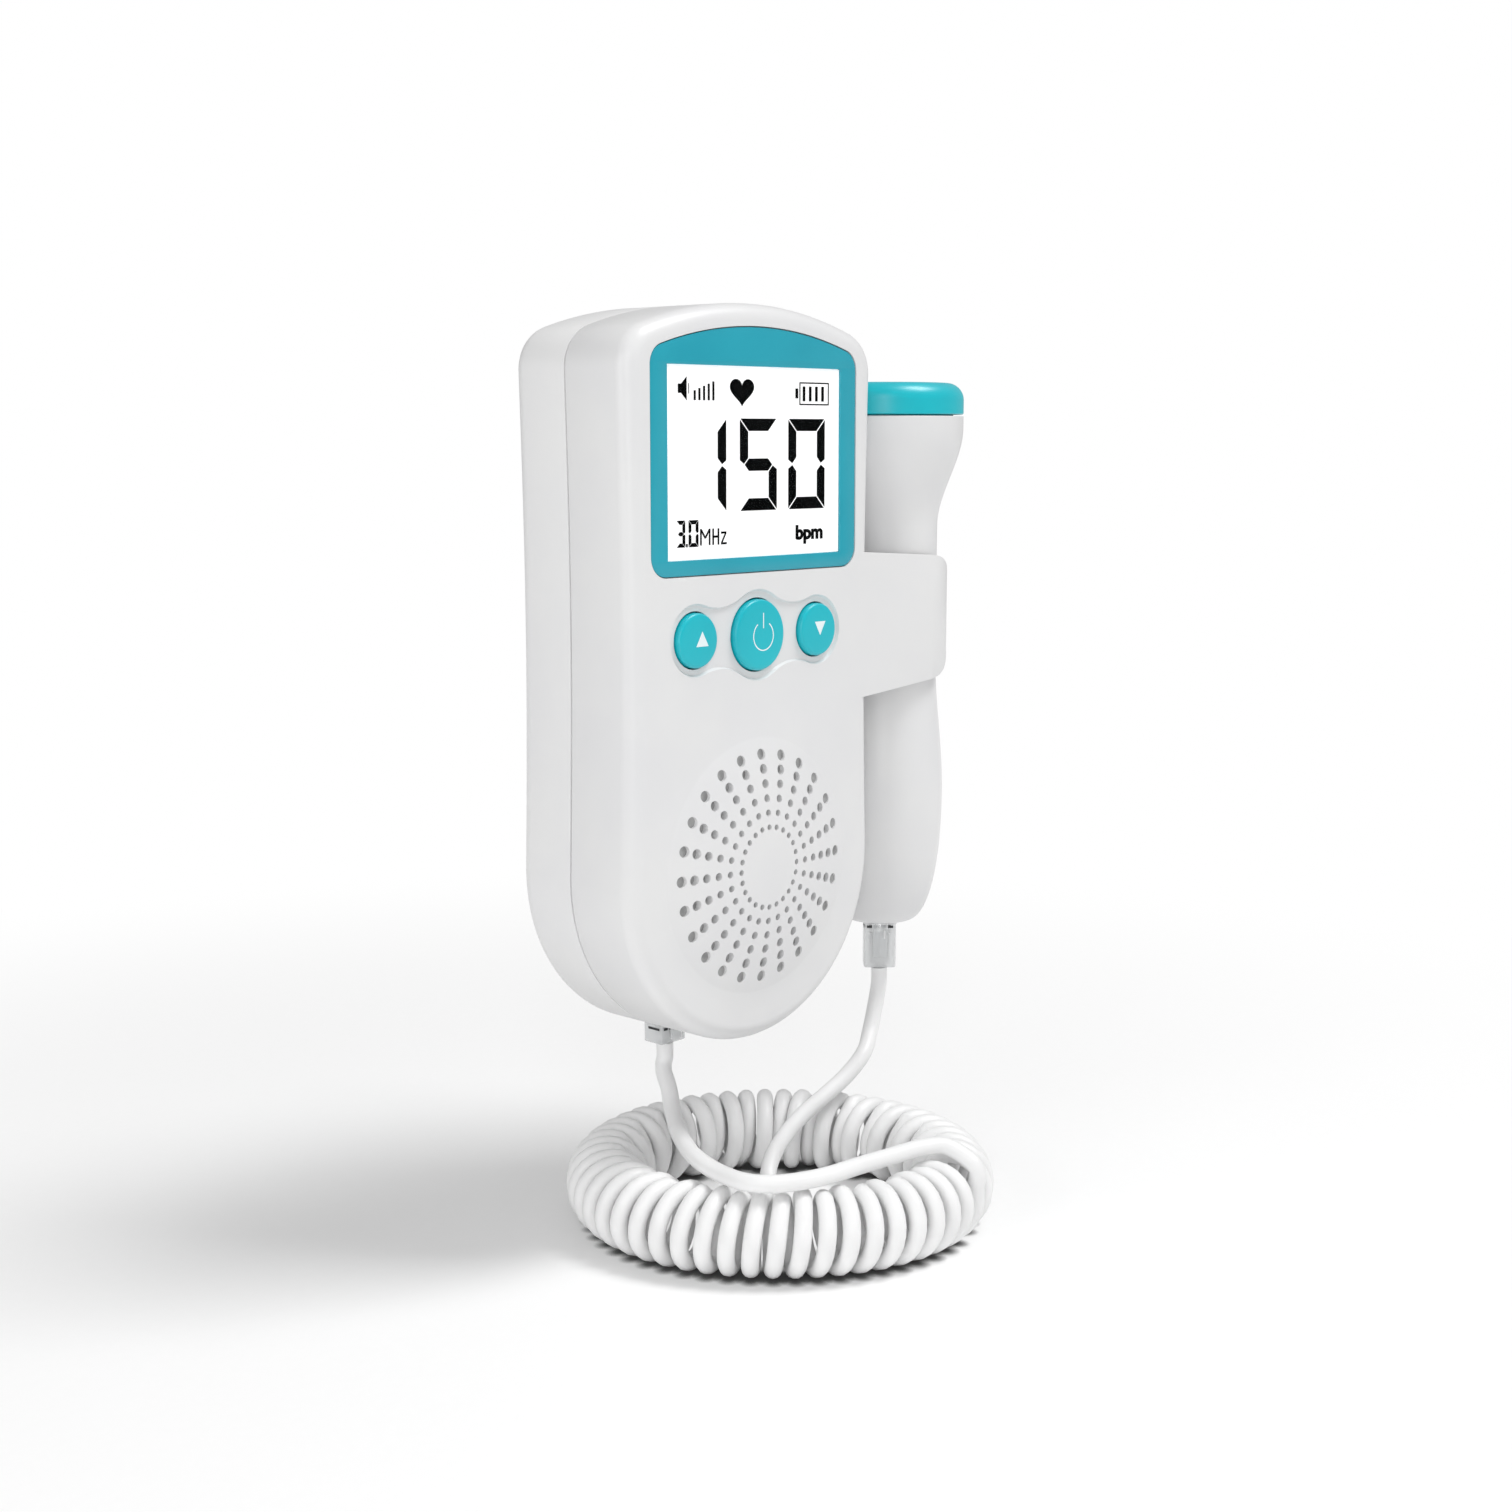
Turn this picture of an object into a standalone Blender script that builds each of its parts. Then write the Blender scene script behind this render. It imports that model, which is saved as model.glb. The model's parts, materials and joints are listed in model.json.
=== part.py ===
"""Hand-held fetal doppler: a monitor unit with display, buttons and speaker, a side clip that holds
the ultrasound probe, and the curly cord that joins the two, coiled in a ring on the floor below.

Metres, +Z up. The front faces -Y. The origin is on the flat back of the unit, at mid height.
"""
import math

import bmesh
import bpy
from mathutils import Matrix, Vector

MM = 0.001

# Gaps and small common sizes
GAP = 0.3 * MM
OVERRUN = 2.0 * MM
WALL = 2.0 * MM
SOFT_EDGE = 0.3 * MM

# The unit's casing
BODY_HEIGHT = 135.0 * MM
BODY_HALF_WIDTH = 32.6 * MM
BODY_DEPTH = 30.0 * MM
WAIST_IN = 0.8 * MM
ARCH_RADIUS = 88.0 * MM
SHOULDER_RADIUS = 8.0 * MM
FRONT_FILLET = 3.2 * MM
REAR_FILLET = 4.0 * MM
PARTING_DEPTH = 15.4 * MM
CAVITY_FILLET = 1.2 * MM
TONGUE_SHARE = 0.5
TONGUE_HEIGHT = 1.2 * MM

# The display
WINDOW_SIDE_MARGIN = 9.8 * MM
WINDOW_HALF_WIDTH = BODY_HALF_WIDTH - WINDOW_SIDE_MARGIN
WINDOW_BOTTOM = 0.166 * BODY_HEIGHT
WINDOW_TOP = 0.417 * BODY_HEIGHT
BEZEL_BORDER = 4.1 * MM
BEZEL_FOOT = 2.7 * MM
BEZEL_CORNER = 3.6 * MM
BEZEL_TOP_MARGIN = 4.3 * MM
BEZEL_SET_BACK = 0.1 * MM
BEZEL_THICKNESS = 0.8 * MM
PANE_SET_BACK = 0.25 * MM
PANE_FLANGE = 1.2 * MM
PANE_FLANGE_THICKNESS = 0.8 * MM
LCD_BORDER = 1.6 * MM
LCD_THICKNESS = 3.8 * MM
LCD_LEG_RADIUS = 1.0 * MM
LCD_LEG_INSET = 3.0 * MM

# The buttons, in their three-lobed recess
BUTTON_ROW_HEIGHT = 0.0607 * BODY_HEIGHT
BUTTON_SPACING = 0.4908 * BODY_HALF_WIDTH
POWER_RADIUS = 6.5 * MM
ARROW_RADIUS = 4.9 * MM
BUTTON_PROUD = 0.7 * MM
BUTTON_ROUND = 0.5 * MM
BUTTON_TRAVEL = 0.5 * MM
BUTTON_FLANGE = 0.9 * MM
BUTTON_FLANGE_THICKNESS = 0.8 * MM
BUTTON_STEM_RADIUS = 1.5 * MM
RECESS_DEPTH = 0.5 * MM
RECESS_MARGIN_POWER = 1.6 * MM
RECESS_MARGIN_ARROW = 1.4 * MM
RECESS_NECK_RADIUS = 11.7 * MM

# The speaker and its grille dome
SPEAKER_HEIGHT = -0.2556 * BODY_HEIGHT
DOME_RISE = 3.2 * MM
DOME_RADIUS = 24.0 * MM
DOME_FOOT = 1.2 * MM
GRILLE_WALL = 1.6 * MM
GRILLE_INNER_RING = 7.46 * MM
GRILLE_OUTER_RING = 20.78 * MM
GRILLE_INNER_HOLE = 0.55 * MM
GRILLE_OUTER_HOLE = 1.05 * MM
GRILLE_MARGIN = 0.8 * MM
GRILLE_RINGS = 6
GRILLE_SPOKES = 24
SPEAKER_SEAT = 0.9 * MM
SPEAKER_RIM_THICKNESS = 1.0 * MM
SPEAKER_RIM_WIDTH = 2.5 * MM
SPEAKER_DEPTH = 5.2 * MM
SPEAKER_BACK_RADIUS = 11.0 * MM
SPEAKER_MAGNET_RADIUS = 10.0 * MM
SPEAKER_MAGNET_DEPTH = 2.8 * MM
SPEAKER_CONE_DEPTH = 3.0 * MM
SPEAKER_DUST_CAP = 5.5 * MM
SPEAKER_DUST_CAP_RISE = 1.4 * MM

# The main board and its switches
BOARD_DEPTH = 10.0 * MM
BOARD_THICKNESS = 1.6 * MM
BOARD_SIDE_MARGIN = 8.8 * MM
BOARD_HALF_WIDTH = BODY_HALF_WIDTH - BOARD_SIDE_MARGIN
BOARD_BOTTOM = -0.0667 * BODY_HEIGHT
BOARD_TOP = 0.4296 * BODY_HEIGHT
BOARD_CORNER = 2.0 * MM
BOARD_POST_RADIUS = 1.8 * MM
BOARD_POST_INSET = 3.2 * MM
SWITCH_SIDE = 6.0 * MM
SWITCH_DEPTH = 3.4 * MM
SWITCH_PLUNGER_RADIUS = 1.7 * MM
SWITCH_PLUNGER_RISE = 0.7 * MM

# The case screws
SCREW_SIDE_MARGIN = 5.3 * MM
SCREW_UPPER_X = BODY_HALF_WIDTH - SCREW_SIDE_MARGIN
SCREW_UPPER_Z = 0.3704 * BODY_HEIGHT
SCREW_LOWER_X = 0.497 * BODY_HALF_WIDTH
SCREW_LOWER_Z = -0.4089 * BODY_HEIGHT
SCREW_SHANK_RADIUS = 1.0 * MM
SCREW_HEAD_RADIUS = 2.0 * MM
SCREW_HEAD_HEIGHT = 1.5 * MM
SCREW_LENGTH = 12.0 * MM
SCREW_SINK = 8.0 * MM
SCREW_TIP_ROOM = 0.6 * MM
SCREW_SLOT_WIDTH = 0.5 * MM
SCREW_SLOT_DEPTH = 0.6 * MM
SCREW_SLOT_SHARE = 0.6
BOSS_RADIUS = 2.35 * MM
POST_WALL = 1.0 * MM

# The battery bay, its two AA cells, their contacts and the cover; the margin beyond the cells' ends
# leaves them the 49 mm of their standard
CELL_RADIUS = 7.1 * MM
CELL_END_MARGIN = 8.1 * MM
CELL_LENGTH = 2 * (BODY_HALF_WIDTH - CELL_END_MARGIN)
CELL_NUB_RADIUS = 2.7 * MM
CELL_NUB_LENGTH = 1.3 * MM
CELL_PITCH = 15.0 * MM
CELL_ROW_HEIGHT = -0.2037 * BODY_HEIGHT
CELL_RADIAL_ROOM = 0.4 * MM
BAY_END_ROOM = 1.45 * MM
BAY_FLOOR = 1.1 * MM
CONTACT_THICKNESS = 0.5 * MM
CONTACT_BUMP_RADIUS = 2.2 * MM
CONTACT_BUMP_TIP_RADIUS = 1.4 * MM
CONTACT_HALF_DEPTH = 6.5 * MM
CONTACT_END_GAP = 4.0 * MM
COVER_THICKNESS = 1.8 * MM
COVER_OVERLAP_X = 0.9 * MM
COVER_OVERLAP_Z = 1.6 * MM
COVER_CORNER = 3.0 * MM
COVER_RIM = 0.6 * MM
COVER_GRIPS = 4
COVER_GRIP_HALF_WIDTH = 8.0 * MM
COVER_GRIP_PITCH = 2.2 * MM
COVER_GRIP_RADIUS = 0.6 * MM
COVER_GRIP_INSET = 4.0 * MM

# The clip on the right side of the front shell; its mouth faces back and to the right
CLIP_BOTTOM = -4.8 * MM
CLIP_TOP = 21.9 * MM
CLIP_WALL = 1.6 * MM
CLIP_SET_BACK = 0.05 * MM
CLIP_STRIP = 1.8 * MM
CLIP_RIB = 1.4 * MM
CLIP_ROOT = 0.8 * MM
CLIP_PLAY = 0.2 * MM
CLIP_MOUTH = math.radians(43.0)
CLIP_TAPER = 2.45 * MM
CLIP_CORNER_DROP = 2.7 * MM
CLIP_CORNER_SWEEP = math.radians(28.0)

# The probe, which stands upright in the clip
PROBE_DISTANCE = 18.4 * MM
PROBE_X = BODY_HALF_WIDTH + PROBE_DISTANCE
PROBE_TOP = 54.4 * MM
PROBE_BOTTOM = -54.6 * MM
PROBE_HEAD_RADIUS = 15.95 * MM
PROBE_NECK_RADIUS = 10.95 * MM
PROBE_BULGE_RADIUS = 12.55 * MM
PROBE_FOOT_RADIUS = 5.6 * MM
PROBE_HEAD_END = 45.5 * MM
PROBE_NECK_TOP = 26.2 * MM
PROBE_NECK_END = -1.0 * MM
PROBE_BULGE_HEIGHT = -27.0 * MM
PROBE_TAIL_POWER = 2.25
PROBE_WALL = 1.6 * MM
PROBE_FLOOR = 2.2 * MM
PROBE_CAP_HEIGHT = 6.2 * MM
PROBE_CAP_ROUND = 3.4 * MM
PROBE_CAP_FACE = 2.0 * MM
PROBE_SPIGOT_LENGTH = 4.0 * MM
PROBE_SPIGOT_WALL = 1.5 * MM
PROBE_TURN = math.radians(-47.0)
CRYSTAL_THICKNESS = 1.0 * MM
BACKING_THICKNESS = 5.0 * MM
PROBE_BOARD_BOTTOM = -34.0 * MM
PROBE_BOARD_TOP = 14.0 * MM

# The modular jacks and plugs
PLUG_WIDTH = 6.6 * MM
PLUG_DEPTH = 5.0 * MM
PLUG_LENGTH = 14.4 * MM
UNIT_PLUG_STANDS_OUT = 5.0 * MM
PROBE_PLUG_STANDS_OUT = 10.1 * MM
LATCH_THICKNESS = 0.7 * MM
LATCH_SLOT = 0.5 * MM
LATCH_WIDTH = 3.0 * MM
LATCH_LENGTH_SHARE = 0.72
LATCH_ROOT = 1.0 * MM
CONTACT_SLOTS = 4
CONTACT_SLOT_PITCH = 1.3 * MM
CONTACT_SLOT_WIDTH = 0.5 * MM
CONTACT_SLOT_LENGTH = 7.0 * MM
CONTACT_SLOT_DEPTH = 0.6 * MM
JACK_WALL = 0.8 * MM
JACK_HEIGHT = 11.0 * MM
UNIT_JACK_DEPTH = 24.8 * MM
UNIT_JACK_LIFT = 2.7 * MM
PROBE_JACK_HEIGHT = 6.0 * MM

# The cord: a straight lead from each plug and the curly coil, closed in a ring on the floor
CORD_DIAMETER = 3.3 * MM
CORD_POINT_SPACING = 7.2 * MM
FLOOR_HEIGHT = -105.4 * MM
RING_CENTRE_X = 9.0 * MM
RING_CENTRE_Y = -27.35 * MM
RING_RADIUS = 33.0 * MM
RING_FLATTENING = 0.09
CURL_RADIUS = 6.45 * MM
CURL_LEAST_GAP = 0.4 * MM
COIL_TURNS = 50
COIL_POINTS_PER_TURN = 8
COIL_START = math.radians(-68.5)
COIL_FRONT = math.radians(-137.0)
COIL_STEP = math.radians(7.0)

# Routes of the two leads between their straight ends, chosen by hand, plug end first
UNIT_LEAD_ROUTE = [
    (-0.9 * MM, -5.6 * MM, -78.0 * MM),
    (-2.7 * MM, -9.0 * MM, -80.9 * MM),
    (-5.7 * MM, -13.0 * MM, -83.7 * MM),
    (-10.1 * MM, -19.0 * MM, -85.7 * MM),
    (-15.5 * MM, -28.0 * MM, -86.6 * MM),
    (-17.9 * MM, -35.8 * MM, -87.2 * MM),
    (-18.8 * MM, -43.5 * MM, -87.2 * MM),
    (-16.6 * MM, -48.2 * MM, -87.2 * MM),
    (-11.6 * MM, -51.2 * MM, -87.2 * MM),
    (-5.4 * MM, -52.8 * MM, -87.2 * MM),
    (2.3 * MM, -53.4 * MM, -87.2 * MM),
    (10.0 * MM, -54.3 * MM, -87.2 * MM),
    (17.0 * MM, -55.4 * MM, -87.1 * MM),
    (21.6 * MM, -58.2 * MM, -87.3 * MM),
]
PROBE_LEAD_ROUTE = [
    (49.9 * MM, -17.0 * MM, -72.4 * MM),
    (46.6 * MM, -18.2 * MM, -77.9 * MM),
    (42.2 * MM, -20.4 * MM, -80.8 * MM),
    (37.4 * MM, -20.2 * MM, -84.4 * MM),
    (31.2 * MM, -19.4 * MM, -87.7 * MM),
    (25.4 * MM, -18.2 * MM, -91.0 * MM),
    (20.5 * MM, -17.7 * MM, -94.6 * MM),
    (16.8 * MM, -18.0 * MM, -98.0 * MM),
    (13.6 * MM, -20.2 * MM, -101.0 * MM),
    (11.6 * MM, -25.6 * MM, -103.2 * MM),
    (12.0 * MM, -32.5 * MM, -103.7 * MM),
    (14.8 * MM, -39.0 * MM, -103.7 * MM),
    (18.6 * MM, -44.6 * MM, -103.7 * MM),
]

# How finely round shapes are made
ARC_STEP = math.radians(9.0)
RIM_SEGMENTS = 3
ROUND_SIDES = 20
SMALL_SIDES = 12
HOLE_SIDES = 5
SIDE_STEPS = 6
LINE_SAMPLES = 16
SMOOTH_ANGLE = math.radians(35.0)
MERGE = 0.00001

parts = bpy.data.collections.new("fetal_doppler")
cutters = bpy.data.collections.new("cutters")


def clear_scene():
    for thing in list(bpy.data.objects):
        bpy.data.objects.remove(thing, do_unlink=True)
    for group in (parts, cutters):
        bpy.context.scene.collection.children.link(group)


def at_depth(distance):
    """World Y of a plane that lies a distance behind the unit's front face."""
    return distance - BODY_DEPTH


def mix(first, second, share):
    return first + (second - first) * share


def eased(first, second, share):
    """Like mix, but level at both ends."""
    return mix(first, second, share * share * (3 - 2 * share))


# Materials


def material(name, color, roughness, metallic=0.0):
    made = bpy.data.materials.new(name)
    made.use_nodes = True
    shader = made.node_tree.nodes["Principled BSDF"]
    shader.inputs["Base Color"].default_value = (*color, 1.0)
    shader.inputs["Roughness"].default_value = roughness
    shader.inputs["Metallic"].default_value = metallic
    made.diffuse_color = (*color, 1.0)
    return made


WHITE = material("white_abs", (0.76, 0.76, 0.76), 0.4)
TEAL = material("teal_abs", (0.03, 0.52, 0.6), 0.35)
BEZEL_TEAL = material("teal_bezel", (0.04, 0.37, 0.46), 0.35)
CLEAR = material("clear_window", (0.9, 0.93, 0.94), 0.05)
LCD_WHITE = material("display_white", (0.95, 0.95, 0.95), 0.3)
BOARD_GREEN = material("board_green", (0.03, 0.2, 0.09), 0.5)
DARK_PLASTIC = material("dark_plastic", (0.05, 0.05, 0.055), 0.5)
STEEL = material("plated_steel", (0.6, 0.6, 0.6), 0.3, 1.0)
CELL_WRAPPER = material("cell_wrapper", (0.12, 0.13, 0.14), 0.35)
PLUG_GREY = material("plug_grey", (0.55, 0.56, 0.57), 0.2)
CORD_WHITE = material("cord_white", (0.82, 0.82, 0.82), 0.45)
CERAMIC = material("ceramic", (0.7, 0.68, 0.62), 0.5)
RUBBER = material("damping_rubber", (0.1, 0.1, 0.1), 0.7)


# Shared modelling steps


def keep(thing, finish, origin=None):
    """Put a finished sub-part in the object's collection; a moving one gets its origin on its axis."""
    if origin is not None:
        thing.data.transform(Matrix.Translation(origin).inverted())
        thing.location = origin
    parts.objects.link(thing)
    thing.data.materials.clear()
    thing.data.materials.append(finish)
    return thing


def mesh_object(name, made):
    mesh = bpy.data.meshes.new(name)
    made.to_mesh(mesh)
    made.free()
    mesh.shade_smooth()
    mesh.set_sharp_from_angle(angle=SMOOTH_ANGLE)
    return bpy.data.objects.new(name, mesh)


def to_mesh_object(maker, name):
    """The evaluated form of a curve or a modified object as a welded mesh object."""
    bpy.context.scene.collection.objects.link(maker)
    bpy.context.view_layer.update()
    graph = bpy.context.evaluated_depsgraph_get()
    mesh = bpy.data.meshes.new_from_object(maker.evaluated_get(graph))
    welded = bmesh.new()
    welded.from_mesh(mesh)
    welded.transform(maker.matrix_world)
    bmesh.ops.remove_doubles(welded, verts=welded.verts, dist=MERGE)
    bmesh.ops.dissolve_limit(
        welded, angle_limit=math.radians(0.1), verts=welded.verts, edges=welded.edges
    )
    bmesh.ops.recalc_face_normals(welded, faces=welded.faces)
    bpy.data.objects.remove(maker, do_unlink=True)
    bpy.data.meshes.remove(mesh)
    return mesh_object(name, welded)


def flat_outline(name, loops, start, end, axis="Y"):
    """A solid from flat loops, extruded from start to end along Y or Z; inner loops are holes."""
    curve = bpy.data.curves.new(name, "CURVE")
    curve.dimensions = "2D"
    curve.fill_mode = "BOTH"
    curve.extrude = abs(end - start) / 2
    for loop in loops:
        spline = curve.splines.new("POLY")
        spline.points.add(len(loop) - 1)
        for point, place in zip(spline.points, loop):
            point.co = (place[0], place[1], 0.0, 1.0)
        spline.use_cyclic_u = True
    maker = bpy.data.objects.new(name + "_curve", curve)
    middle = (start + end) / 2
    if axis == "Y":
        maker.matrix_world = Matrix.Translation((0, middle, 0)) @ Matrix.Rotation(math.pi / 2, 4, "X")
    else:
        maker.matrix_world = Matrix.Translation((0, 0, middle))
    return to_mesh_object(maker, name)


def turned(name, profile, place, steps, along=(0, 0, 1)):
    """A turned solid: (radius, height) pairs down the outer side, turned about an axis at place."""
    mesh = bpy.data.meshes.new(name + "_profile")
    points = [(radius, 0.0, height) for radius, height in profile]
    mesh.from_pydata(points, [(i, i + 1) for i in range(len(points) - 1)], [])
    maker = bpy.data.objects.new(name + "_profile", mesh)
    screw = maker.modifiers.new("Turn", "SCREW")
    screw.steps = steps
    screw.render_steps = steps
    screw.use_merge_vertices = True
    screw.merge_threshold = MERGE
    swing = Vector((0, 0, 1)).rotation_difference(Vector(along)).to_matrix().to_4x4()
    maker.matrix_world = Matrix.Translation(place) @ swing
    return to_mesh_object(maker, name)


def rod(name, place, radius, start, end, sides=SMALL_SIDES, axis="Y", end_radius=None):
    """A round rod along X, Y or Z; place holds its other two coordinates in order."""
    made = bmesh.new()
    middle = (start + end) / 2
    if axis == "X":
        spot = Matrix.Translation((middle, *place)) @ Matrix.Rotation(math.pi / 2, 4, "Y")
    elif axis == "Y":
        spot = Matrix.Translation((place[0], middle, place[1])) @ Matrix.Rotation(-math.pi / 2, 4, "X")
    else:
        spot = Matrix.Translation((*place, middle))
    bmesh.ops.create_cone(
        made,
        cap_ends=True,
        segments=sides,
        radius1=radius,
        radius2=radius if end_radius is None else end_radius,
        depth=end - start,
        matrix=spot,
    )
    return mesh_object(name, made)


def block(name, low, high, softening=0.0):
    """A box between two corners, with its edges softened if asked."""
    made = bmesh.new()
    size = [b - a for a, b in zip(low, high)]
    middle = Vector([(a + b) / 2 for a, b in zip(low, high)])
    bmesh.ops.create_cube(made, size=1.0)
    bmesh.ops.scale(made, vec=size, verts=made.verts)
    bmesh.ops.translate(made, vec=middle, verts=made.verts)
    if softening:
        bmesh.ops.bevel(
            made,
            geom=made.edges[:],
            offset=softening,
            segments=1,
            profile=0.5,
            affect="EDGES",
            clamp_overlap=True,
        )
    return mesh_object(name, made)


def round_rim(thing, rim_y, radius, segments=RIM_SEGMENTS):
    """Round the rim of an extruded outline where its side meets the flat end at rim_y."""
    made = bmesh.new()
    made.from_mesh(thing.data)
    rim = [
        edge
        for edge in made.edges
        if all(abs(v.co.y - rim_y) < MERGE for v in edge.verts)
        and any(abs(face.normal.y) < 0.5 for face in edge.link_faces)
    ]
    bmesh.ops.bevel(
        made,
        geom=rim,
        offset=radius,
        segments=segments,
        profile=0.5,
        affect="EDGES",
        clamp_overlap=False,
    )
    made.to_mesh(thing.data)
    made.free()
    thing.data.shade_smooth()
    thing.data.set_sharp_from_angle(angle=SMOOTH_ANGLE)
    return thing


def gather(name, things):
    """One cutter from several that don't touch each other."""
    made = bmesh.new()
    for thing in things:
        made.from_mesh(thing.data)
        bpy.data.objects.remove(thing, do_unlink=True)
    return mesh_object(name, made)


def combine(target, tool, operation):
    cutters.objects.link(tool)
    tool.hide_render = True
    tool.display_type = "WIRE"
    step = target.modifiers.new(tool.name, "BOOLEAN")
    step.operation = operation
    step.solver = "EXACT"
    step.object = tool
    return target


def cut(target, tool):
    return combine(target, tool, "DIFFERENCE")


def add(target, tool):
    return combine(target, tool, "UNION")


def turned_about(thing, angle, x, y):
    """Turn a shape about the upright line at x, y."""
    swing = Matrix.Translation((x, y, 0)) @ Matrix.Rotation(angle, 4, "Z")
    thing.data.transform(swing @ Matrix.Translation((-x, -y, 0)))
    return thing


# Outlines


def arc(centre, radius, start, end, steps):
    """Points along an arc, both ends included."""
    turn = (end - start) / steps
    return [
        (centre[0] + radius * math.cos(start + turn * i), centre[1] + radius * math.sin(start + turn * i))
        for i in range(steps + 1)
    ]


def steps_for(angle):
    return max(2, round(abs(angle) / ARC_STEP))


def arched_loop(half_width, bottom, bottom_radius, top, arch_radius, shoulder, waist):
    """A plate's loop with a round or rounded foot, an arched top and sides drawn in at the waist."""
    arch_centre = top - arch_radius
    shoulder_x = half_width - shoulder
    shoulder_z = arch_centre + math.sqrt((arch_radius - shoulder) ** 2 - shoulder_x**2)
    lean = math.atan2(shoulder_z - arch_centre, shoulder_x)
    foot = (half_width - bottom_radius, bottom + bottom_radius)
    right = arc(foot, bottom_radius, -math.pi / 2, 0, steps_for(math.pi / 2))
    if waist:
        for i in range(1, SIDE_STEPS):
            share = i / SIDE_STEPS
            right.append((half_width - waist * math.sin(math.pi * share), mix(foot[1], shoulder_z, share)))
    right += arc((shoulder_x, shoulder_z), shoulder, 0, lean, steps_for(lean / 2))
    right += arc((0, arch_centre), arch_radius, lean, math.pi / 2, 5)[1:]
    left = [(-x, z) for x, z in reversed(right)]
    loop = []
    for point in right + left:
        if not loop or math.dist(point, loop[-1]) > MERGE:
            loop.append(point)
    if math.dist(loop[0], loop[-1]) < MERGE:
        loop.pop()
    return loop


def body_loop(inset):
    half_width = BODY_HALF_WIDTH - inset
    return arched_loop(
        half_width,
        inset - BODY_HEIGHT / 2,
        half_width,
        BODY_HEIGHT / 2 - inset,
        ARCH_RADIUS - inset,
        SHOULDER_RADIUS - inset,
        WAIST_IN,
    )


def bezel_loop(grow):
    """The display bezel's outer edge, which follows the casing's arch."""
    return arched_loop(
        WINDOW_HALF_WIDTH + BEZEL_BORDER + grow,
        WINDOW_BOTTOM - BEZEL_FOOT - grow,
        BEZEL_CORNER + grow,
        BODY_HEIGHT / 2 - BEZEL_TOP_MARGIN + grow,
        ARCH_RADIUS - BEZEL_TOP_MARGIN + grow,
        BEZEL_CORNER + grow,
        0.0,
    )


def window_loop(grow):
    x = WINDOW_HALF_WIDTH + grow
    low, high = WINDOW_BOTTOM - grow, WINDOW_TOP + grow
    return [(-x, low), (x, low), (x, high), (-x, high)]


def rounded_box(x, low, high, radius):
    """A loop from -x to x and from low to high with rounded corners."""
    corners = [
        ((x - radius, low + radius), -math.pi / 2),
        ((x - radius, high - radius), 0.0),
        ((radius - x, high - radius), math.pi / 2),
        ((radius - x, low + radius), math.pi),
    ]
    loop = []
    for centre, start in corners:
        loop += arc(centre, radius, start, start + math.pi / 2, 3)
    return loop


def recess_loop():
    """Three lobes, one round each button, joined by hollow necks."""
    middle = POWER_RADIUS + RECESS_MARGIN_POWER
    side = ARROW_RADIUS + RECESS_MARGIN_ARROW
    to_middle, to_side = middle + RECESS_NECK_RADIUS, side + RECESS_NECK_RADIUS
    neck_x = (to_middle**2 - to_side**2 + BUTTON_SPACING**2) / (2 * BUTTON_SPACING)
    neck_z = math.sqrt(to_middle**2 - neck_x**2)
    from_middle = math.atan2(neck_z, neck_x)
    from_side = math.atan2(neck_z, neck_x - BUTTON_SPACING)
    lobe = arc((BUTTON_SPACING, 0), side, 0, from_side, 8)
    neck = arc((neck_x, neck_z), RECESS_NECK_RADIUS, from_side - math.pi, from_middle - math.pi, 5)
    crown = arc((0, 0), middle, from_middle, math.pi / 2, 4)
    quarter = lobe + neck[1:] + crown[1:]
    upper = quarter + [(-x, z) for x, z in reversed(quarter[:-1])]
    lower = [(x, -z) for x, z in reversed(upper[1:-1])]
    return [(x, z + BUTTON_ROW_HEIGHT) for x, z in upper + lower]


# The front shell with its grille dome and clip


def dome_height(radius):
    """How far the speaker dome stands out of the face at a radius from its middle."""
    sphere = (DOME_RADIUS**2 + DOME_RISE**2) / (2 * DOME_RISE)
    return DOME_RISE - (sphere - math.sqrt(sphere**2 - radius**2))


def grille_ring(index):
    return mix(GRILLE_INNER_RING, GRILLE_OUTER_RING, index / (GRILLE_RINGS - 1))


def grille_edge():
    """Radius of the hollow behind the grille."""
    return GRILLE_OUTER_RING + GRILLE_OUTER_HOLE + GRILLE_MARGIN


def dome_solid(name, set_back, edge, foot):
    """The dome as a turned solid whose facets each hold one hole of the grille."""
    half_step = (grille_ring(1) - grille_ring(0)) / 2
    radii = [0.0] + [grille_ring(i) - half_step for i in range(GRILLE_RINGS)] + [edge]
    profile = [(r, dome_height(r) - set_back) for r in radii]
    profile += [(edge, -foot), (0.0, -foot)]
    made = turned(name, profile, (0, 0, 0), GRILLE_SPOKES, along=(0, -1, 0))
    half_facet = Matrix.Rotation(math.pi / GRILLE_SPOKES, 4, "Y")
    made.data.transform(Matrix.Translation((0, at_depth(0), SPEAKER_HEIGHT)) @ half_facet)
    return made


def grille_holes():
    """Every hole of the grille as one cutter: spokes of round holes that grow outwards."""
    made = bmesh.new()
    for ring in range(GRILLE_RINGS):
        radius = mix(GRILLE_INNER_HOLE, GRILLE_OUTER_HOLE, ring / (GRILLE_RINGS - 1))
        for spoke in range(GRILLE_SPOKES):
            angle = 2 * math.pi * spoke / GRILLE_SPOKES
            reach = grille_ring(ring)
            place = (reach * math.sin(angle), at_depth(0), SPEAKER_HEIGHT + reach * math.cos(angle))
            spin = Matrix.Rotation(angle, 4, "Y") @ Matrix.Rotation(math.pi / 2, 4, "X")
            bmesh.ops.create_cone(
                made,
                cap_ends=True,
                segments=HOLE_SIDES,
                radius1=radius,
                radius2=radius,
                depth=2 * (DOME_RISE + OVERRUN),
                matrix=Matrix.Translation(place) @ spin,
            )
    return mesh_object("cut_grille_holes", made)


def clip_radii():
    inner = PROBE_NECK_RADIUS + CLIP_PLAY + GAP
    return inner, inner + CLIP_WALL


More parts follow.
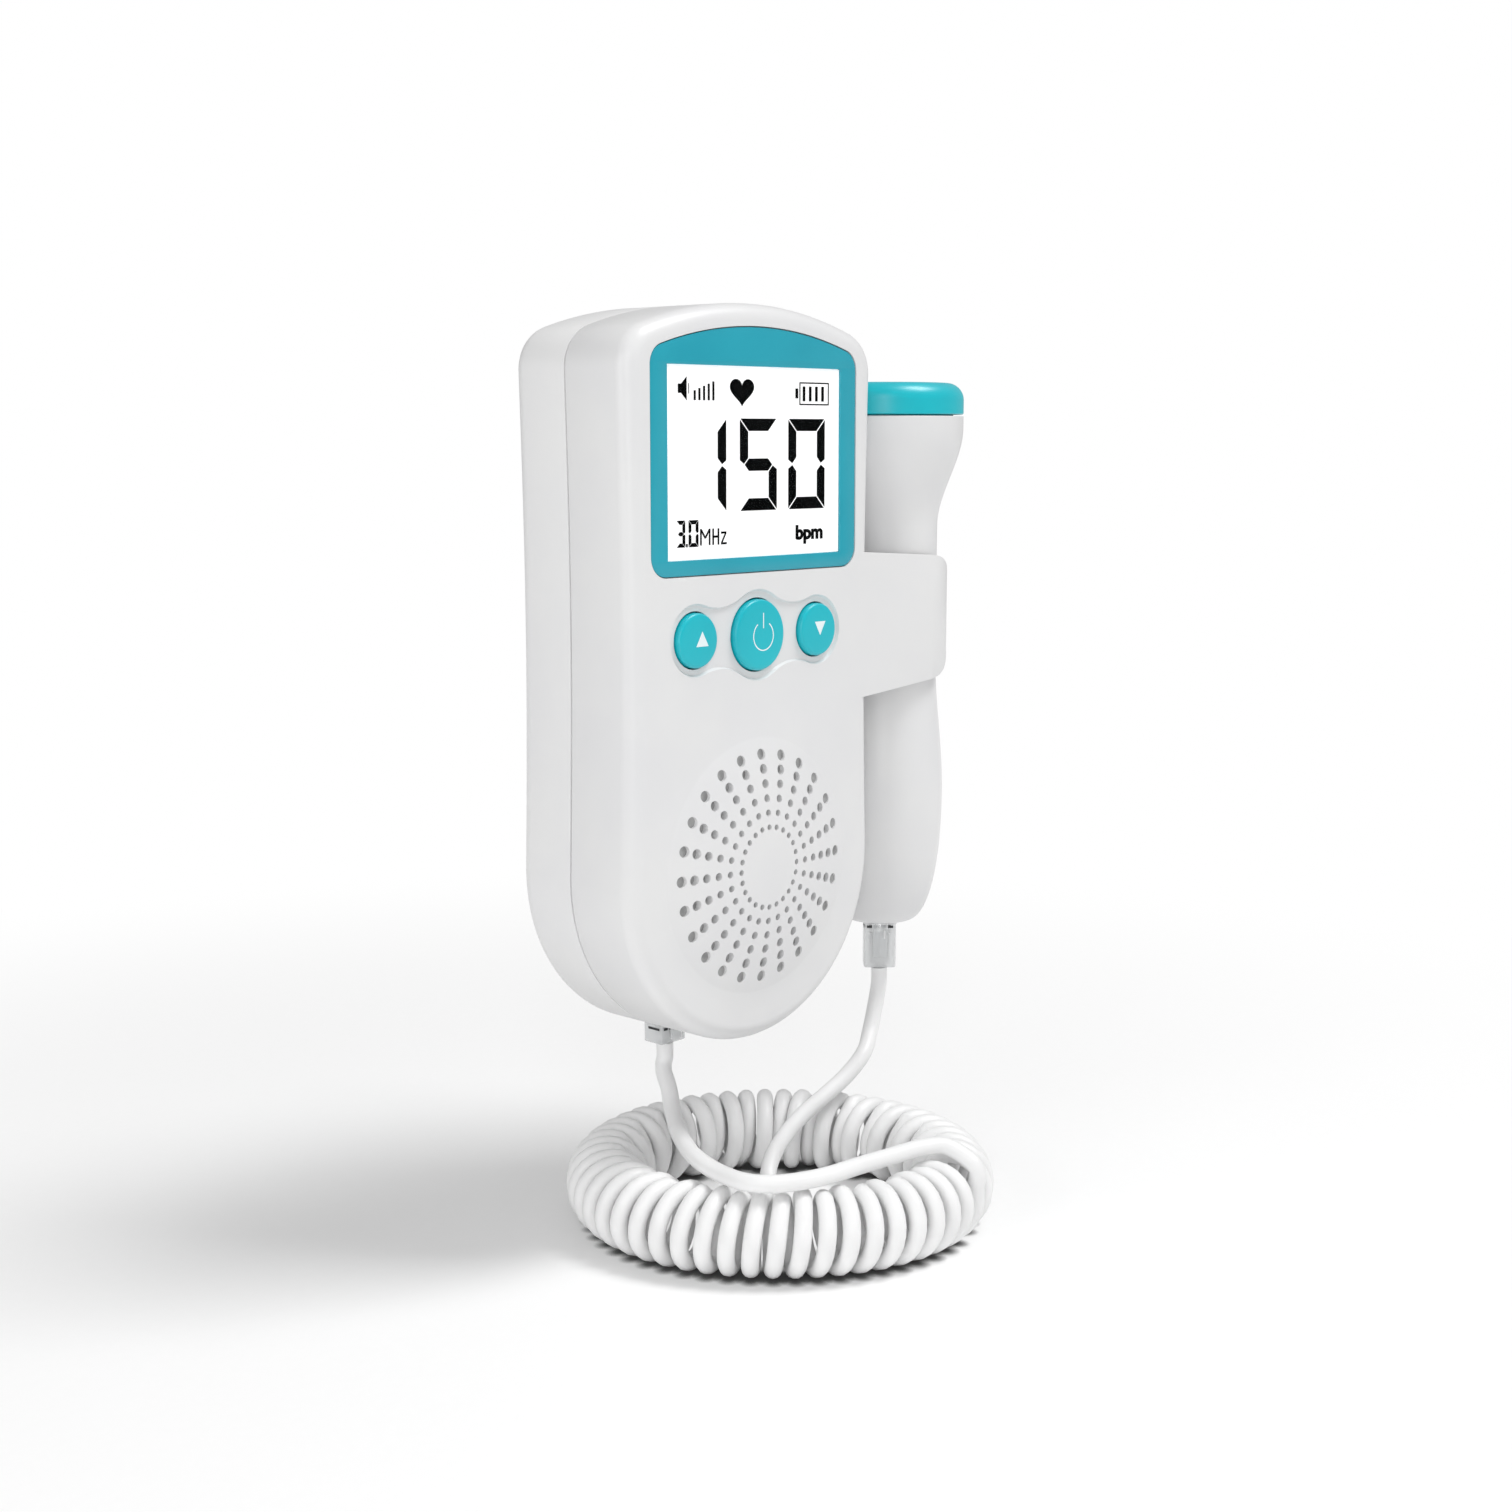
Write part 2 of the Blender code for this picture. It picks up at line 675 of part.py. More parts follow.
def probe_axis():
    """The probe stands where the clip's ring is flush with the front face."""
    return PROBE_X, at_depth(CLIP_SET_BACK) + clip_radii()[1]


def probe_origin():
    """Where the probe leaves the clip: its axis, at the clip's middle height."""
    return (*probe_axis(), (CLIP_BOTTOM + CLIP_TOP) / 2)


def clip_loop():
    """Plan of the clip: a strip flush with the face, the ring round the probe and a rib behind."""
    inner, outer = clip_radii()
    centre = probe_axis()
    middle = (inner + outer) / 2
    tip, heel = CLIP_MOUTH - math.pi / 2, CLIP_MOUTH + math.pi / 2 - 2 * math.pi
    front, strip = at_depth(CLIP_SET_BACK), at_depth(CLIP_STRIP)
    nose = (centre[0] + middle * math.cos(tip), centre[1] + middle * math.sin(tip))
    back_nose = (centre[0] + middle * math.cos(heel), centre[1] + middle * math.sin(heel))
    lean = math.asin(CLIP_RIB / 2 / outer)
    meeting = math.asin((centre[1] - strip) / outer) - math.pi
    root = BODY_HALF_WIDTH - FRONT_FILLET - CLIP_ROOT
    side = BODY_HALF_WIDTH - WAIST_IN - CLIP_ROOT
    loop = [(root, front)]
    loop += arc(centre, outer, -math.pi / 2, tip, 8)
    loop += arc(nose, CLIP_WALL / 2, tip, tip + math.pi, 4)[1:-1]
    loop += arc(centre, inner, tip, heel, 20)
    loop += arc(back_nose, CLIP_WALL / 2, heel + math.pi, heel + 2 * math.pi, 4)[1:-1]
    loop += arc(centre, outer, heel, -math.pi - lean, 5)
    loop += [(side, centre[1] + CLIP_RIB / 2), (side, centre[1] - CLIP_RIB / 2)]
    loop += arc(centre, outer, lean - math.pi, meeting, 6)
    loop += [(root, strip)]
    return loop


def clip_drop(x, y):
    """How far the clip's top and bottom edges are drawn in at a point of its plan."""
    centre = probe_axis()
    tip = CLIP_MOUTH - math.pi / 2
    if x < centre[0] - MERGE:
        start = BODY_HALF_WIDTH - FRONT_FILLET
        if y > at_depth(CLIP_STRIP) + MERGE or x < start:
            return 0.0
        return CLIP_TAPER * (x - start) / (centre[0] - start) / 2
    angle = math.atan2(y - centre[1], x - centre[0])
    share = min(1.0, (angle + math.pi / 2) / (tip + math.pi / 2))
    corner = min(1.0, max(0.0, 1 - (tip - angle) / CLIP_CORNER_SWEEP))
    return CLIP_TAPER * (1 + share) / 2 + CLIP_CORNER_DROP * (1 - math.sqrt(1 - corner**2))


def clip_solid():
    """The clip, with the top and bottom edges of its tongue drawn in towards the tip."""
    clip = flat_outline("add_clip", [clip_loop()], CLIP_BOTTOM, CLIP_TOP, axis="Z")
    middle = (CLIP_BOTTOM + CLIP_TOP) / 2
    made = bmesh.new()
    made.from_mesh(clip.data)
    bmesh.ops.triangulate(made, faces=made.faces[:])
    for vertex in made.verts:
        drop = clip_drop(vertex.co.x, vertex.co.y)
        vertex.co.z += drop if vertex.co.z < middle else -drop
    made.to_mesh(clip.data)
    made.free()
    return clip


def screw_places():
    return {
        "upper_left": (-SCREW_UPPER_X, SCREW_UPPER_Z),
        "upper_right": (SCREW_UPPER_X, SCREW_UPPER_Z),
        "lower_left": (-SCREW_LOWER_X, SCREW_LOWER_Z),
        "lower_right": (SCREW_LOWER_X, SCREW_LOWER_Z),
    }


def button_places():
    return {
        "power": (0.0, POWER_RADIUS),
        "left": (-BUTTON_SPACING, ARROW_RADIUS),
        "right": (BUTTON_SPACING, ARROW_RADIUS),
    }


def build_front_shell():
    """Front half of the casing, with the display, button and speaker openings and the clip."""
    shell = flat_outline("front_shell", [body_loop(0.0)], at_depth(0), at_depth(PARTING_DEPTH))
    round_rim(shell, at_depth(0), FRONT_FILLET)
    add(shell, dome_solid("add_dome", 0.0, DOME_RADIUS + DOME_FOOT, DOME_FOOT))
    add(shell, clip_solid())

    past_rim = at_depth(PARTING_DEPTH + OVERRUN)
    cavity = flat_outline("cut_front_cavity", [body_loop(WALL)], at_depth(WALL), past_rim)
    cut(shell, round_rim(cavity, at_depth(WALL), CAVITY_FILLET, 1))
    rebate_floor = at_depth(PARTING_DEPTH - TONGUE_HEIGHT - GAP)
    cut(shell, flat_outline("cut_rebate", [body_loop(WALL * TONGUE_SHARE)], rebate_floor, past_rim))
    cut(shell, dome_solid("cut_dome", GRILLE_WALL, grille_edge(), WALL + GAP))

    bosses = [
        rod("boss", place, BOSS_RADIUS, at_depth(WALL / 2), at_depth(PARTING_DEPTH))
        for place in screw_places().values()
    ]
    add(shell, gather("add_bosses", bosses))
    tip = BODY_DEPTH - SCREW_SINK + GAP - SCREW_LENGTH
    holes = [
        rod("hole", place, SCREW_SHANK_RADIUS + GAP, at_depth(tip - SCREW_TIP_ROOM), past_rim)
        for place in screw_places().values()
    ]
    cut(shell, gather("cut_screw_holes", holes))

    pocket_floor = BEZEL_SET_BACK + BEZEL_THICKNESS + GAP
    before_face = at_depth(-OVERRUN)
    cut(shell, flat_outline("cut_bezel_pocket", [bezel_loop(GAP)], before_face, at_depth(pocket_floor)))
    opening = window_loop(PANE_FLANGE + GAP)
    cut(shell, flat_outline("cut_window", [opening], before_face, at_depth(WALL + OVERRUN / 2)))
    cut(shell, flat_outline("cut_recess", [recess_loop()], before_face, at_depth(RECESS_DEPTH)))
    wells = [
        rod("well", (x, BUTTON_ROW_HEIGHT), radius + GAP, before_face, at_depth(WALL + OVERRUN), ROUND_SIDES)
        for x, radius in button_places().values()
    ]
    cut(shell, gather("cut_button_wells", wells))
    cut(shell, grille_holes())
    keep(shell, WHITE)


# The rear shell with its battery bay


def bay_size():
    """Half length along X, and bottom and top height, of the battery bay inside."""
    half = (CELL_LENGTH + CELL_NUB_LENGTH) / 2 + BAY_END_ROOM
    reach = CELL_PITCH / 2 + CELL_RADIUS + CELL_RADIAL_ROOM
    return half, CELL_ROW_HEIGHT - reach, CELL_ROW_HEIGHT + reach


def cell_depth():
    return BODY_DEPTH - COVER_THICKNESS - GAP - CELL_RADIAL_ROOM - CELL_RADIUS


def bay_floor():
    return cell_depth() - CELL_RADIUS - CELL_RADIAL_ROOM


def cover_size():
    half, low, high = bay_size()
    return half + COVER_OVERLAP_X, low - COVER_OVERLAP_Z, high + COVER_OVERLAP_Z


def board_corners():
    x = BOARD_HALF_WIDTH - BOARD_POST_INSET
    low, high = BOARD_BOTTOM + BOARD_POST_INSET, BOARD_TOP - BOARD_POST_INSET
    return [(-x, low), (x, low), (x, high), (-x, high)]


def unit_jack_box(grow):
    """Low and high corners of the unit's jack, grown by a clearance."""
    x = PLUG_WIDTH / 2 + GAP + JACK_WALL + grow
    y = PLUG_DEPTH / 2 + GAP + JACK_WALL + grow
    low = UNIT_JACK_LIFT - BODY_HEIGHT / 2
    return (
        (-x, at_depth(UNIT_JACK_DEPTH) - y, low - grow),
        (x, at_depth(UNIT_JACK_DEPTH) + y, low + JACK_HEIGHT + grow),
    )


def build_rear_shell():
    """Back half of the casing: tongue, board posts, screw columns, battery bay, jack opening."""
    start = at_depth(PARTING_DEPTH + GAP)
    back = at_depth(BODY_DEPTH)
    inner_back = at_depth(BODY_DEPTH - WALL)
    in_wall = at_depth(BODY_DEPTH - WALL * TONGUE_SHARE)
    shell = flat_outline("rear_shell", [body_loop(0.0)], start, back)
    round_rim(shell, back, REAR_FILLET)
    tongue_top = at_depth(PARTING_DEPTH + GAP - TONGUE_HEIGHT)
    tongue = body_loop(WALL * TONGUE_SHARE + GAP)
    add(shell, flat_outline("add_tongue", [tongue], tongue_top, start + OVERRUN))
    cavity = flat_outline("cut_rear_cavity", [body_loop(WALL)], tongue_top - OVERRUN, inner_back)
    cut(shell, round_rim(cavity, inner_back, CAVITY_FILLET, 1))

    half, low, high = bay_size()
    cover_half, cover_low, cover_high = cover_size()
    rim = GAP + COVER_RIM
    bay = block(
        "bay",
        (-cover_half - rim, at_depth(bay_floor() - BAY_FLOOR), cover_low - rim),
        (cover_half + rim, in_wall, cover_high + rim),
    )
    board_back = at_depth(BOARD_DEPTH + BOARD_THICKNESS + GAP)
    posts = [rod("post", place, BOARD_POST_RADIUS, board_back, in_wall) for place in board_corners()]
    column = SCREW_HEAD_RADIUS + GAP + POST_WALL
    columns = [rod("column", place, column, start, in_wall) for place in screw_places().values()]
    add(shell, bay)
    add(shell, gather("add_posts", posts + columns))

    cut(shell, block("cut_bay", (-half, at_depth(bay_floor()), low), (half, back + OVERRUN, high)))
    seat = rounded_box(cover_half + GAP, cover_low - GAP, cover_high + GAP, COVER_CORNER)
    seat_floor = at_depth(BODY_DEPTH - COVER_THICKNESS - GAP)
    cut(shell, flat_outline("cut_cover_seat", [seat], seat_floor, back + OVERRUN))

    floor = at_depth(BODY_DEPTH - SCREW_SINK)
    shafts = []
    for place in screw_places().values():
        shafts.append(rod("shaft", place, SCREW_HEAD_RADIUS + GAP, floor, back + OVERRUN))
    cut(shell, gather("cut_head_shafts", shafts))
    shanks = []
    for place in screw_places().values():
        shanks.append(rod("shank", place, SCREW_SHANK_RADIUS + GAP, start - OVERRUN, floor + OVERRUN))
    cut(shell, gather("cut_shank_holes", shanks))

    cut(shell, block("cut_jack_seat", *unit_jack_box(GAP)))
    x, y = PLUG_WIDTH / 2 + GAP, PLUG_DEPTH / 2 + GAP
    middle = at_depth(UNIT_JACK_DEPTH)
    under = -BODY_HEIGHT / 2
    way = block("cut_plug_way", (-x, middle - y, under - OVERRUN), (x, middle + y, under + WALL + OVERRUN))
    cut(shell, way)
    keep(shell, WHITE)


def build_battery_cover():
    half, low, high = cover_size()
    front, back = at_depth(BODY_DEPTH - COVER_THICKNESS), at_depth(BODY_DEPTH)
    cover = flat_outline("battery_cover", [rounded_box(half, low, high, COVER_CORNER)], front, back)
    reach = COVER_GRIP_HALF_WIDTH
    grips = []
    for i in range(COVER_GRIPS):
        place = (back, low + COVER_GRIP_INSET + COVER_GRIP_PITCH * i)
        grips.append(rod("grip", place, COVER_GRIP_RADIUS, -reach, reach, axis="X"))
    cut(cover, gather("cut_grips", grips))
    keep(cover, WHITE, (0, back, (low + high) / 2))


# The display


def build_display():
    """Bezel, stepped window behind it, and the display module on its legs."""
    start = BEZEL_SET_BACK + BEZEL_THICKNESS
    frame = [bezel_loop(0.0), window_loop(0.0)]
    bezel = flat_outline("display_bezel", frame, at_depth(BEZEL_SET_BACK), at_depth(start))
    keep(bezel, BEZEL_TEAL)

    flange_front = start + GAP
    flange_back = flange_front + PANE_FLANGE_THICKNESS
    flange = [window_loop(PANE_FLANGE)]
    pane = flat_outline("display_window", flange, at_depth(flange_front), at_depth(flange_back))
    middle = at_depth(flange_front + PANE_FLANGE_THICKNESS / 2)
    add(pane, flat_outline("add_pane_face", [window_loop(-GAP)], at_depth(PANE_SET_BACK), middle))
    keep(pane, CLEAR)

    x = WINDOW_HALF_WIDTH + LCD_BORDER
    low, high = WINDOW_BOTTOM - LCD_BORDER, WINDOW_TOP + LCD_BORDER
    front = WALL + GAP
    back = front + LCD_THICKNESS
    lcd = block("lcd_module", (-x, at_depth(front), low), (x, at_depth(back), high))
    leg_start, leg_end = at_depth(back - LCD_THICKNESS / 2), at_depth(BOARD_DEPTH - GAP)
    legs = []
    for side_x in (LCD_LEG_INSET - x, x - LCD_LEG_INSET):
        for side_z in (low + LCD_LEG_INSET, high - LCD_LEG_INSET):
            legs.append(rod("leg", (side_x, side_z), LCD_LEG_RADIUS, leg_start, leg_end))
    add(lcd, gather("add_legs", legs))
    keep(lcd, LCD_WHITE)


# The buttons, switches and board


def build_buttons():
    """Each button: a cap in its well, a flange behind the wall, a stem just short of its switch."""
    plunger = BOARD_DEPTH - GAP - SWITCH_DEPTH - SWITCH_PLUNGER_RISE
    flange_front = WALL + GAP
    flange_back = flange_front + BUTTON_FLANGE_THICKNESS
    stem = plunger - GAP / 2 - BUTTON_TRAVEL
    for name, (x, radius) in button_places().items():
        profile = [
            (0.0, BUTTON_PROUD),
            (radius - BUTTON_ROUND, BUTTON_PROUD),
            (radius, BUTTON_PROUD - BUTTON_ROUND),
            (radius, -flange_front),
            (radius + BUTTON_FLANGE, -flange_front),
            (radius + BUTTON_FLANGE, -flange_back),
            (BUTTON_STEM_RADIUS, -flange_back),
            (BUTTON_STEM_RADIUS, -stem),
            (0.0, -stem),
        ]
        place = (x, at_depth(0), BUTTON_ROW_HEIGHT)
        button = turned("button_" + name, profile, place, ROUND_SIDES, along=(0, -1, 0))
        keep(button, TEAL, place)


def build_board():
    outline = rounded_box(BOARD_HALF_WIDTH, BOARD_BOTTOM, BOARD_TOP, BOARD_CORNER)
    back = BOARD_DEPTH + BOARD_THICKNESS
    board = flat_outline("main_board", [outline], at_depth(BOARD_DEPTH), at_depth(back))
    keep(board, BOARD_GREEN)


def build_switches():
    half = SWITCH_SIDE / 2
    back = BOARD_DEPTH - GAP
    front = back - SWITCH_DEPTH
    for name, (x, _) in button_places().items():
        switch = block(
            "switch_" + name,
            (x - half, at_depth(front), BUTTON_ROW_HEIGHT - half),
            (x + half, at_depth(back), BUTTON_ROW_HEIGHT + half),
        )
        top, base = at_depth(front - SWITCH_PLUNGER_RISE), at_depth(front + SWITCH_DEPTH / 2)
        plunger = rod("add_plunger_" + name, (x, BUTTON_ROW_HEIGHT), SWITCH_PLUNGER_RADIUS, top, base)
        add(switch, plunger)
        keep(switch, DARK_PLASTIC)


# The speaker


def build_speaker():
    """The speaker's basket and cone, seated round the dome's hollow, and its magnet behind."""
    rim = grille_edge() + SPEAKER_SEAT
    cone = rim - SPEAKER_RIM_WIDTH
    front = -(WALL + GAP)
    back = front - SPEAKER_DEPTH
    trough = front - SPEAKER_CONE_DEPTH
    profile = [
        (0.0, trough + SPEAKER_DUST_CAP_RISE),
        (SPEAKER_DUST_CAP / 2, trough + SPEAKER_DUST_CAP_RISE * 3 / 4),
        (SPEAKER_DUST_CAP, trough),
        (cone, front),
        (rim, front),
        (rim, front - SPEAKER_RIM_THICKNESS),
        (cone, front - SPEAKER_RIM_THICKNESS * 2),
        (SPEAKER_BACK_RADIUS, back),
        (0.0, back),
    ]
    place = (0, at_depth(0), SPEAKER_HEIGHT)
    keep(turned("speaker_cone", profile, place, ROUND_SIDES, along=(0, -1, 0)), DARK_PLASTIC)
    start = at_depth(GAP - back)
    end = start + SPEAKER_MAGNET_DEPTH
    magnet = rod("speaker_magnet", (0, SPEAKER_HEIGHT), SPEAKER_MAGNET_RADIUS, start, end, ROUND_SIDES)
    keep(magnet, STEEL)


# Batteries, contacts, screws


def build_cells():
    end = (CELL_LENGTH + CELL_NUB_LENGTH) / 2
    for name, way, height in (("upper", 1, CELL_PITCH / 2), ("lower", -1, -CELL_PITCH / 2)):
        profile = [
            (0.0, end),
            (CELL_NUB_RADIUS, end),
            (CELL_NUB_RADIUS, end - CELL_NUB_LENGTH),
            (CELL_RADIUS, end - CELL_NUB_LENGTH),
            (CELL_RADIUS, -end),
            (0.0, -end),
        ]
        place = (0, at_depth(cell_depth()), CELL_ROW_HEIGHT + height)
        keep(turned("cell_" + name, profile, place, ROUND_SIDES, along=(way, 0, 0)), CELL_WRAPPER)


def build_contacts():
    """A plate at each end of the bay, with a bump that meets each cell."""
    half, low, high = bay_size()
    middle = at_depth(cell_depth())
    cell_end = (CELL_LENGTH + CELL_NUB_LENGTH) / 2
    outer = half - GAP
    inner = outer - CONTACT_THICKNESS
    heights = (CELL_ROW_HEIGHT - CELL_PITCH / 2, CELL_ROW_HEIGHT + CELL_PITCH / 2)
    for name, way in (("left", -1), ("right", 1)):
        near, far = sorted((way * inner, way * outer))
        plate = block(
            "contact_" + name,
            (near, middle - CONTACT_HALF_DEPTH, low + CONTACT_END_GAP),
            (far, middle + CONTACT_HALF_DEPTH, high - CONTACT_END_GAP),
        )
        ends = [
            (way * (cell_end + GAP), CONTACT_BUMP_TIP_RADIUS),
            (way * (inner + CONTACT_THICKNESS / 2), CONTACT_BUMP_RADIUS),
        ]
        (start, first), (end, last) = sorted(ends)
        bumps = [
            rod("bump", (middle, height), first, start, end, axis="X", end_radius=last)
            for height in heights
        ]
        add(plate, gather("add_bumps_" + name, bumps))
        keep(plate, STEEL)


def build_screws():
    """Pan-head screws, put in from the back, with a cross recess in each head."""
    seat = BODY_DEPTH - SCREW_SINK + GAP
    profile = [
        (0.0, SCREW_HEAD_HEIGHT),
        (SCREW_HEAD_RADIUS, SCREW_HEAD_HEIGHT),
        (SCREW_HEAD_RADIUS, 0.0),
        (SCREW_SHANK_RADIUS, 0.0),
        (SCREW_SHANK_RADIUS, SCREW_SHANK_RADIUS - SCREW_LENGTH),
        (0.0, -SCREW_LENGTH),
    ]
    top = at_depth(seat + SCREW_HEAD_HEIGHT)
    long, short = SCREW_HEAD_RADIUS * SCREW_SLOT_SHARE, SCREW_SLOT_WIDTH / 2
    for name, (x, z) in screw_places().items():
        screw = turned("screw_" + name, profile, (x, at_depth(seat), z), SMALL_SIDES, along=(0, 1, 0))
        for way, (half_x, half_z) in (("across", (long, short)), ("upright", (short, long))):
            low = (x - half_x, top - SCREW_SLOT_DEPTH, z - half_z)
            high = (x + half_x, top + OVERRUN, z + half_z)
            cut(screw, block("cut_" + way + "_" + name, low, high))
        keep(screw, STEEL)


# The jacks and plugs


def plug_pieces(name, x, y, bottom, socket_mouth, stands_out):
    """A modular plug, its contact slots and its latch, all with the latch towards -Y."""
    top = bottom + PLUG_LENGTH
    front = y - PLUG_DEPTH / 2
    half = PLUG_WIDTH / 2
    body = block(name, (x - half, front, bottom), (x + half, y + PLUG_DEPTH / 2, top), SOFT_EDGE)
    slots = []
    for i in range(CONTACT_SLOTS):
        middle = x + CONTACT_SLOT_PITCH * (i - (CONTACT_SLOTS - 1) / 2)
        low = (middle - CONTACT_SLOT_WIDTH / 2, front - OVERRUN, top - CONTACT_SLOT_LENGTH)
        high = (middle + CONTACT_SLOT_WIDTH / 2, front + CONTACT_SLOT_DEPTH, top + OVERRUN)
        slots.append(block("slot", low, high))
    out = front - LATCH_SLOT - LATCH_THICKNESS
    half = LATCH_WIDTH / 2
    latch_top = socket_mouth - GAP
    latch_low = latch_top - stands_out * LATCH_LENGTH_SHARE
    tab = block("add_tab_" + name, (x - half, out, latch_low), (x + half, out + LATCH_THICKNESS, latch_top))
    root_low = (x - half, out + LATCH_THICKNESS / 2, latch_top - LATCH_ROOT)
    root = block("add_root_" + name, root_low, (x + half, front + LATCH_ROOT, latch_top - SOFT_EDGE / 2))
    return body, gather("cut_slots_" + name, slots), [tab, root]


def build_unit_plug_and_jack():
    y = at_depth(UNIT_JACK_DEPTH)
    under = -BODY_HEIGHT / 2
    bottom = under - UNIT_PLUG_STANDS_OUT
    plug, slots, latch = plug_pieces("unit_plug", 0.0, y, bottom, under, UNIT_PLUG_STANDS_OUT)
    cut(plug, slots)
    for piece in latch:
        add(plug, piece)
    keep(plug, PLUG_GREY)

    low, high = unit_jack_box(0.0)
    jack = block("unit_jack", low, high)
    x, half_y = PLUG_WIDTH / 2 + GAP, PLUG_DEPTH / 2 + GAP
    socket_top = bottom + PLUG_LENGTH + GAP
    cut(jack, block("cut_unit_socket", (-x, y - half_y, low[2] - OVERRUN), (x, y + half_y, socket_top)))
    keep(jack, DARK_PLASTIC)


def probe_plug_way(name, top):
    """The way that the plug takes into the probe's foot, up to a height."""
    x, y = probe_axis()
    half_x, half_y = PLUG_WIDTH / 2 + GAP, PLUG_DEPTH / 2 + GAP
    way = block(name, (x - half_x, y - half_y, PROBE_BOTTOM - OVERRUN), (x + half_x, y + half_y, top))
    return turned_about(way, PROBE_TURN, x, y)


def build_probe_plug_and_jack():
    x, y = probe_axis()
    bottom = PROBE_BOTTOM - PROBE_PLUG_STANDS_OUT
    plug, slots, latch = plug_pieces("probe_plug", x, y, bottom, PROBE_BOTTOM, PROBE_PLUG_STANDS_OUT)
    cut(turned_about(plug, PROBE_TURN, x, y), turned_about(slots, PROBE_TURN, x, y))
    for piece in latch:
        add(plug, turned_about(piece, PROBE_TURN, x, y))
    keep(plug, PLUG_GREY, probe_origin())

    half_x = PLUG_WIDTH / 2 + GAP + JACK_WALL
    half_y = PLUG_DEPTH / 2 + GAP + JACK_WALL
    low = PROBE_BOTTOM + PROBE_FLOOR + GAP
    high = low + PROBE_JACK_HEIGHT
    jack = block("probe_jack", (x - half_x, y - half_y, low), (x + half_x, y + half_y, high))
    socket = probe_plug_way("cut_probe_socket", bottom + PLUG_LENGTH + GAP)
    cut(turned_about(jack, PROBE_TURN, x, y), socket)
    keep(jack, DARK_PLASTIC, probe_origin())


# The probe


def probe_radius(height):
    """Outer radius of the probe's housing: head, drawn-in neck, bulge and rounded tail."""
    if height >= PROBE_HEAD_END:
        return PROBE_HEAD_RADIUS
    if height >= PROBE_NECK_TOP:
        share = (PROBE_HEAD_END - height) / (PROBE_HEAD_END - PROBE_NECK_TOP)
        return eased(PROBE_HEAD_RADIUS, PROBE_NECK_RADIUS, share)
    if height >= PROBE_NECK_END:
        return PROBE_NECK_RADIUS
    if height >= PROBE_BULGE_HEIGHT:
        share = (PROBE_NECK_END - height) / (PROBE_NECK_END - PROBE_BULGE_HEIGHT)
        return eased(PROBE_NECK_RADIUS, PROBE_BULGE_RADIUS, share)
    share = (PROBE_BULGE_HEIGHT - height) / (PROBE_BULGE_HEIGHT - PROBE_BOTTOM)
    fullness = max(0.0, 1 - share**PROBE_TAIL_POWER) ** (1 / PROBE_TAIL_POWER)
    return mix(PROBE_FOOT_RADIUS, PROBE_BULGE_RADIUS, fullness)


def probe_stations(low, high):
    """Heights down the probe at which its profile has a point, closer together at the tail."""
    inner = []
    for start, end, steps in (
        (PROBE_HEAD_END, PROBE_NECK_TOP, 6),
        (PROBE_NECK_TOP, PROBE_NECK_END, 1),
        (PROBE_NECK_END, PROBE_BULGE_HEIGHT, 5),
    ):
        inner += [mix(start, end, i / steps) for i in range(steps)]
    for i in range(8):
        share = math.sin(math.pi / 2 * i / 8)
        inner.append(mix(PROBE_BULGE_HEIGHT, PROBE_BOTTOM, share))
    return [high] + [height for height in inner if low + MERGE < height < high - MERGE] + [low]


def build_probe_housing():
    top = PROBE_TOP - PROBE_CAP_HEIGHT - GAP
    floor = PROBE_BOTTOM + PROBE_FLOOR
    outer = [(probe_radius(z), z) for z in probe_stations(PROBE_BOTTOM, top)]
    inner = [(probe_radius(z) - PROBE_WALL, z) for z in probe_stations(floor, top)]
    profile = [(0.0, floor)] + inner[::-1] + outer + [(0.0, PROBE_BOTTOM)]
    x, y = probe_axis()
    housing = turned("probe_housing", profile, (x, y, 0), ROUND_SIDES)
    cut(housing, probe_plug_way("cut_probe_foot", floor + OVERRUN))
    keep(housing, WHITE, probe_origin())


def spigot_radii():
    outer = PROBE_HEAD_RADIUS - PROBE_WALL - GAP * 3 / 2
    return outer - PROBE_SPIGOT_WALL, outer


def build_probe_cap():
    inner, outer = spigot_radii()
    bottom = PROBE_TOP - PROBE_CAP_HEIGHT
    corner = (PROBE_HEAD_RADIUS - PROBE_CAP_ROUND, PROBE_TOP - PROBE_CAP_ROUND)
    profile = [(0.0, PROBE_TOP)]
    profile += arc(corner, PROBE_CAP_ROUND, math.pi / 2, 0, 5)
    profile += [
        (PROBE_HEAD_RADIUS, bottom),
        (outer, bottom),
        (outer, bottom - PROBE_SPIGOT_LENGTH),
        (inner, bottom - PROBE_SPIGOT_LENGTH),
        (inner, PROBE_TOP - PROBE_CAP_FACE),
        (0.0, PROBE_TOP - PROBE_CAP_FACE),
    ]
    x, y = probe_axis()
    keep(turned("probe_cap", profile, (x, y, 0), ROUND_SIDES), TEAL, probe_origin())


def build_probe_inside():
    """Crystal, its damping block and the small board, all held by the cap and the neck."""
    inner, _ = spigot_radii()
    place = probe_axis()
    top = PROBE_TOP - PROBE_CAP_FACE - GAP
    bottom = top - CRYSTAL_THICKNESS
    radius = inner - GAP
    crystal = rod("probe_crystal", place, radius, bottom, top, ROUND_SIDES, axis="Z")
    keep(crystal, CERAMIC, probe_origin())
    top = bottom - GAP
    bottom = top - BACKING_THICKNESS
    backing = rod("probe_backing", place, radius, bottom, top, ROUND_SIDES, axis="Z")
    keep(backing, RUBBER, probe_origin())
    x, y = place
    half = PROBE_NECK_RADIUS - PROBE_WALL - GAP * 3 / 2
    board = block(
        "probe_board",
        (x - half, y - BOARD_THICKNESS / 2, PROBE_BOARD_BOTTOM),
        (x + half, y + BOARD_THICKNESS / 2, PROBE_BOARD_TOP),
    )
    keep(turned_about(board, PROBE_TURN, x, y), BOARD_GREEN, probe_origin())


# The cord


